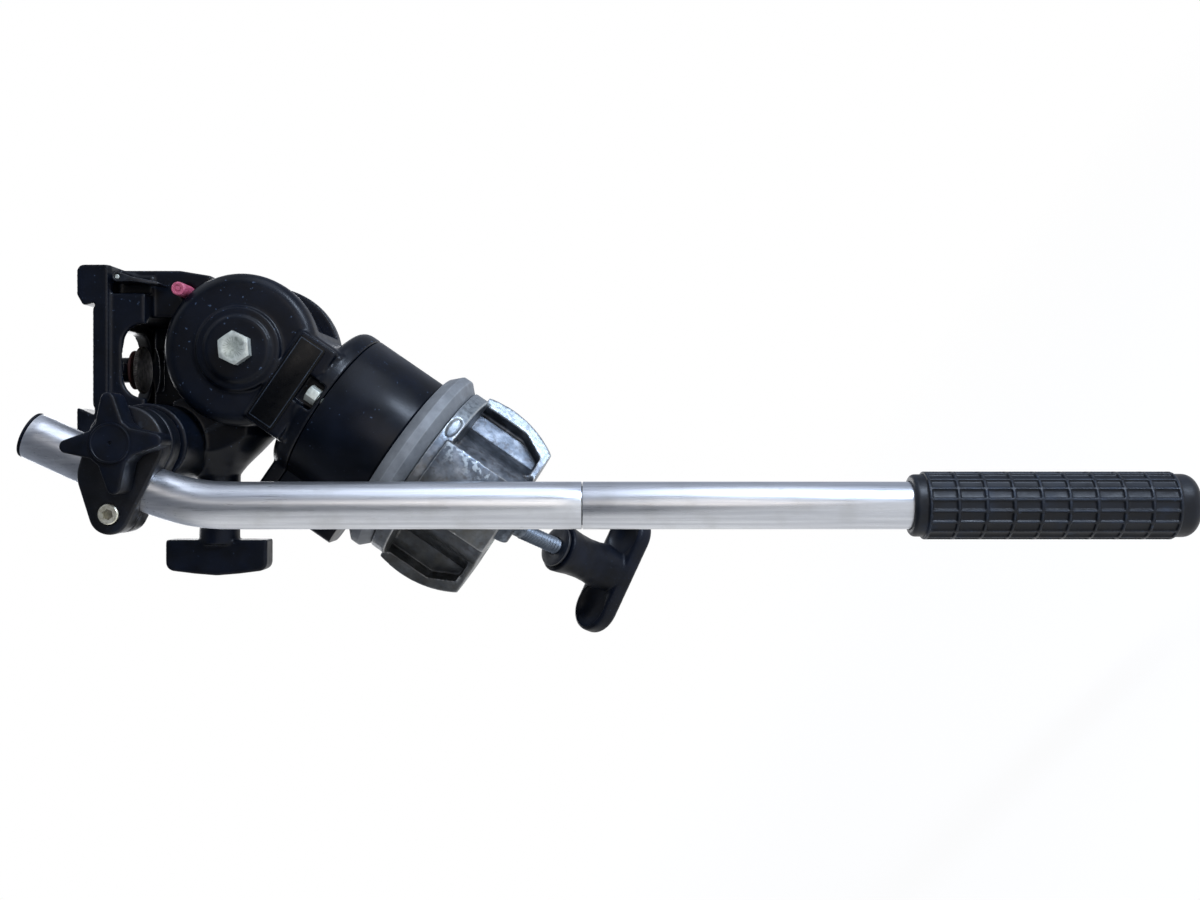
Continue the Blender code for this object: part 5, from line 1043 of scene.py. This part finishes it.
GRIP_TOP = -288.9
GRIP_FOOT = -407.7
CELLS = {"Cells": 18, "Rows": 9, "Pitch": 11.4, "Radius": 14.25, "Height": 0.85, "Ring": 1.15, "Rib": 0.95}
middle = GRIP_TOP - 6.0 - CELLS["Rows"] * CELLS["Pitch"] / 2
grip = grown(grip_tree(rubber), CELLS, STRAIGHT @ at(0, 0, middle) @ turned(2.5, "Z"))
sleeve = [(0, GRIP_FOOT)] + arc((8.3, GRIP_FOOT + 5.0), 5.0, -90, 0, 8) + [(13.3, GRIP_FOOT + 9.5)]
sleeve += [(12.0, GRIP_FOOT + 12), (12.0, GRIP_TOP - 9), (13.1, GRIP_TOP - 7), (13.1, GRIP_TOP - 2.2)]
sleeve += arc((11.1, GRIP_TOP - 2.0), 2.0, 0, 90, 6) + [(0, GRIP_TOP)]
grip = softened(merged(grip, lathe(sleeve, STRAIGHT, 96)), 0.38, 3, 0.55)
combine(grip, removed=[disc(10.3, GRIP_FOOT + 3.0, GRIP_TOP + 2, STRAIGHT, 96)])
finished(grip, "grip_sleeve", rubber, "pan_bar", ["bar_grip"], 60)


# Tie-down. A plated steel rod with an eye and a rolled thread, drawn with a coarser pitch than the
# real M8's so that it shows, a blackened washer, and a long nylon knob with two thumb dishes.
ROD = {"Radius": 3.98, "Pitch": 1.75, "Length": 48.0}
thread_steel, tree = new_material("bright_threaded_steel")
tones = mottled(tree, 3, 5.0, (0.3, "2C3036"), (0.55, "4A5058"), (0.75, "6C747E"))
# The thread's crests are painted lighter, a painted highlight, and its valleys darker, a painted shade.
tones = blend(tree, creases(tree, (0.53, 0.0), (0.6, 0.6)), tones, "9AA4B0")
tones = blend(tree, creases(tree, (0.42, 0.95), (0.5, 0.0)), tones, "0C0D10")
coated(tree, tones, 0.42, 0.9, relief=[(0.6, 3.0, 0.3, 0.04)])


def wound(tree, radius, turns, length, steps):
    """A helix about Z, as a curve."""
    links = {"Start__Radius": radius, "End__Radius": radius, "Rotations": turns, "Height": length}
    return add_node(tree, "GeometryNodeCurveSpiral", {"Resolution": steps}, **links)


def thread_tree(material):
    """A helical ridge round a plain core, as a rolled thread is."""
    tree, given = node_tree("rolled_thread", "Radius", "Pitch", "Length")
    depth = product(tree, given["Pitch"], 0.44)
    middle = product(tree, given["Radius"], depth, "SUBTRACT")
    turns = product(tree, given["Length"], given["Pitch"], "DIVIDE")
    spiral = wound(tree, middle, turns, given["Length"], 40)
    upright = add_node(tree, "GeometryNodeSetCurveNormal", {"mode": "Z_UP"}, Curve=spiral.outputs[0])
    diamond = add_node(tree, "GeometryNodeCurvePrimitiveCircle", {"Resolution": 4}, Radius=depth)
    sizes = {"Radius": middle, "Depth": given["Length"]}
    core = add_node(tree, "GeometryNodeMeshCylinder", {"Vertices": 40}, **sizes).outputs["Mesh"]
    lift = add_node(tree, "ShaderNodeCombineXYZ", Z=product(tree, given["Length"], 0.5)).outputs[0]
    core = add_node(tree, "GeometryNodeTransform", Geometry=core, Translation=lift).outputs[0]
    return closed(tree, [swept(tree, upright, diamond), core], material)


TIE = PIVOT @ turned(-36.5, "Y")
rod = disc(8.0, -6.8, 6.8, TIE @ STAND, 72)
bevelled(rod, 0.7, 3, 40)
combine(rod, [disc(3.6, -14, -6, TIE, 48)], [disc(2.8, -9, 9, TIE @ STAND, 40)])
rod = merged(rod, grown(thread_tree(thread_steel), ROD, TIE @ at(0, 0, -60)))
finished(rod, "tie_rod_threaded", thread_steel, "tie_arm", ["tie_rod"], 30)
pin = lathe([(0, -14.5), (2.1, -14.5), (2.5, -14.1), (2.5, 14.1), (2.1, 14.5), (0, 14.5)], PIVOT @ STAND, 40)
finished(pin, "tie_pin_plated", plated, "base", ["tie_pin"], 40)
washer = tube(4.32, 10.0, -35.9, -34.3, TIE, 96)
bevelled(washer, 0.3, 3, 40)
finished(washer, "tie_washer_plated", enamel, "tie_ring", ["tie_washer"], 40)

KNOB = TIE @ turned(-74, "Z")
outline = arc((19.0, 0), 12.9, -90, 90, 24) + arc((-19.0, 0), 12.9, 90, 270, 24)
knob = prism(outline, -77.4, -69.1, KNOB)
bevelled(knob, 2.4, 5, 50)
stem = [(0, -36.25), (11.2, -36.25), (11.8, -36.9), (11.5, -40), (10.6, -46), (10.2, -52.6), (10.6, -59)]
stem += [(12.0, -66), (12.6, -70), (12.6, -74), (0, -74)]
combine(knob, [lathe(stem, TIE, 96)])
softened(knob, 0.6, 6, 1.0)
dishes = []
for side in (-1, 1):
    form = bmesh.new()
    bmesh.ops.create_uvsphere(form, u_segments=64, v_segments=32, radius=1.0)
    dishes.append(solid(form, KNOB @ at(side * 19.0, 0, -68.6) @ Matrix.Diagonal((11.6, 10.8, 6.0, 1))))
combine(knob, removed=dishes + [disc(4.3, -71.5, -30, TIE, 48)])
finished(knob, "tie_knob_moulded", nylon, "tie_grip", ["tie_knob"], 35)


# Small turned parts. Pins, screws, the pan lock's stud and nut and the safety spring are simple
# plated steel; most of them only show when the head is turned or taken apart.
for k, wing in enumerate(WINGS):
    screw = socket_screw(3.5, 3.7, 26.7, -26.0, 2.0, 3.0, at(*polar(20, wing), 0) @ turned(180, "X"))
    finished(screw, f"ball_socket_screw_{k + 1}", plated, "base", [f"ball_screw_{k + 1}"], 30)
pin = lathe([(0, 19.3), (0.8, 19.3), (1.0, 19.5), (1.0, 34.3), (0.8, 34.5), (0, 34.5)], LEVER, 24)
finished(pin, "lever_pin_plated", plated, "tilt_body", ["lever_pin"], 40)
stud = lathe([(0, -25.7), (2.6, -25.7), (3.0, -25.3), (3.0, 10.1), (2.6, 10.5), (0, 10.5)], PAN_LOCK, 32)
finished(stud, "pan_lock_stud_plated", plated, "pan_lock", ["pan_lock_stud"], 40)
low, high = in_mm(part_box("pan_lock_nut"))
nut = hexagon_head(10, low[1], high[1], 0, EAR_AXIS, 30 if high[2] - low[2] > 10.5 else 0)
combine(nut, removed=[disc(3.25, -60, 60, EAR_AXIS, 32)])
finished(nut, "pan_lock_nut_plated", plated, "pan_body", ["pan_lock_nut"], 30)


def spring_tree(material):
    """A round wire wound into an open helix."""
    tree, given = node_tree("wound_spring", "Radius", "Wire", "Turns", "Length")
    coil = wound(tree, given["Radius"], given["Turns"], given["Length"], 32)
    wire = add_node(tree, "GeometryNodeCurvePrimitiveCircle", {"Resolution": 12}, Radius=given["Wire"])
    return closed(tree, [swept(tree, coil, wire)], material)


low, high = in_mm(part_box("safety_spring"))
sizes = {"Radius": 2.2, "Wire": 0.4, "Turns": 4.0, "Length": high[1] - low[1] - 0.9}
spring = grown(spring_tree(plated), sizes, PIN @ at(0, 0, 0.45 - high[1]))
finished(spring, "safety_spring_wound", plated, "tilt_body", ["safety_spring"], 60)

# Hidden parts. The spindle, rotor, bushes, seal and friction discs keep the solids' own shapes and
# take the finish of their real stuff: turned brass, ground steel and felt.
brass, tree = new_material("turned_brass")
tones = mottled(tree, 1.5, 5.0, (0.3, "8A6A34"), (0.55, "B08C4A"), (0.75, "CDAA62"))
coated(tree, tones, mottled(tree, 2.5, 4.0, (0.3, 0.28), (0.75, 0.45)), 0.95, relief=[(0.4, 3.0, 0.3, 0.03)])
felt, tree = new_material("oiled_grey_felt")
coated(tree, mottled(tree, 1.0, 6.0, (0.3, "3E3D3A"), (0.7, "6A6862")), 0.92, relief=[(0.3, 4.0, 0.6, 0.12)])
INSIDE = {
    "zinc_steel": (plated, ["pan_spindle", "pan_nut", "bar_coupler", "star_stud"]),
    "brass": (brass, ["pan_drag_rotor", "pan_bush", "tilt_bush_near", "tilt_bush_far", "tilt_lock_shoe"]),
    "grey_felt": (felt, ["pan_seal", "pan_thrust_washer", "tilt_drag_disc_near", "tilt_drag_disc_far"]),
}
for slot_name, (stuff, nodes) in INSIDE.items():
    for node in nodes:
        inside = bpy.data.objects[node]
        inside.data.materials.clear()
        inside.data.materials.append(stuff)
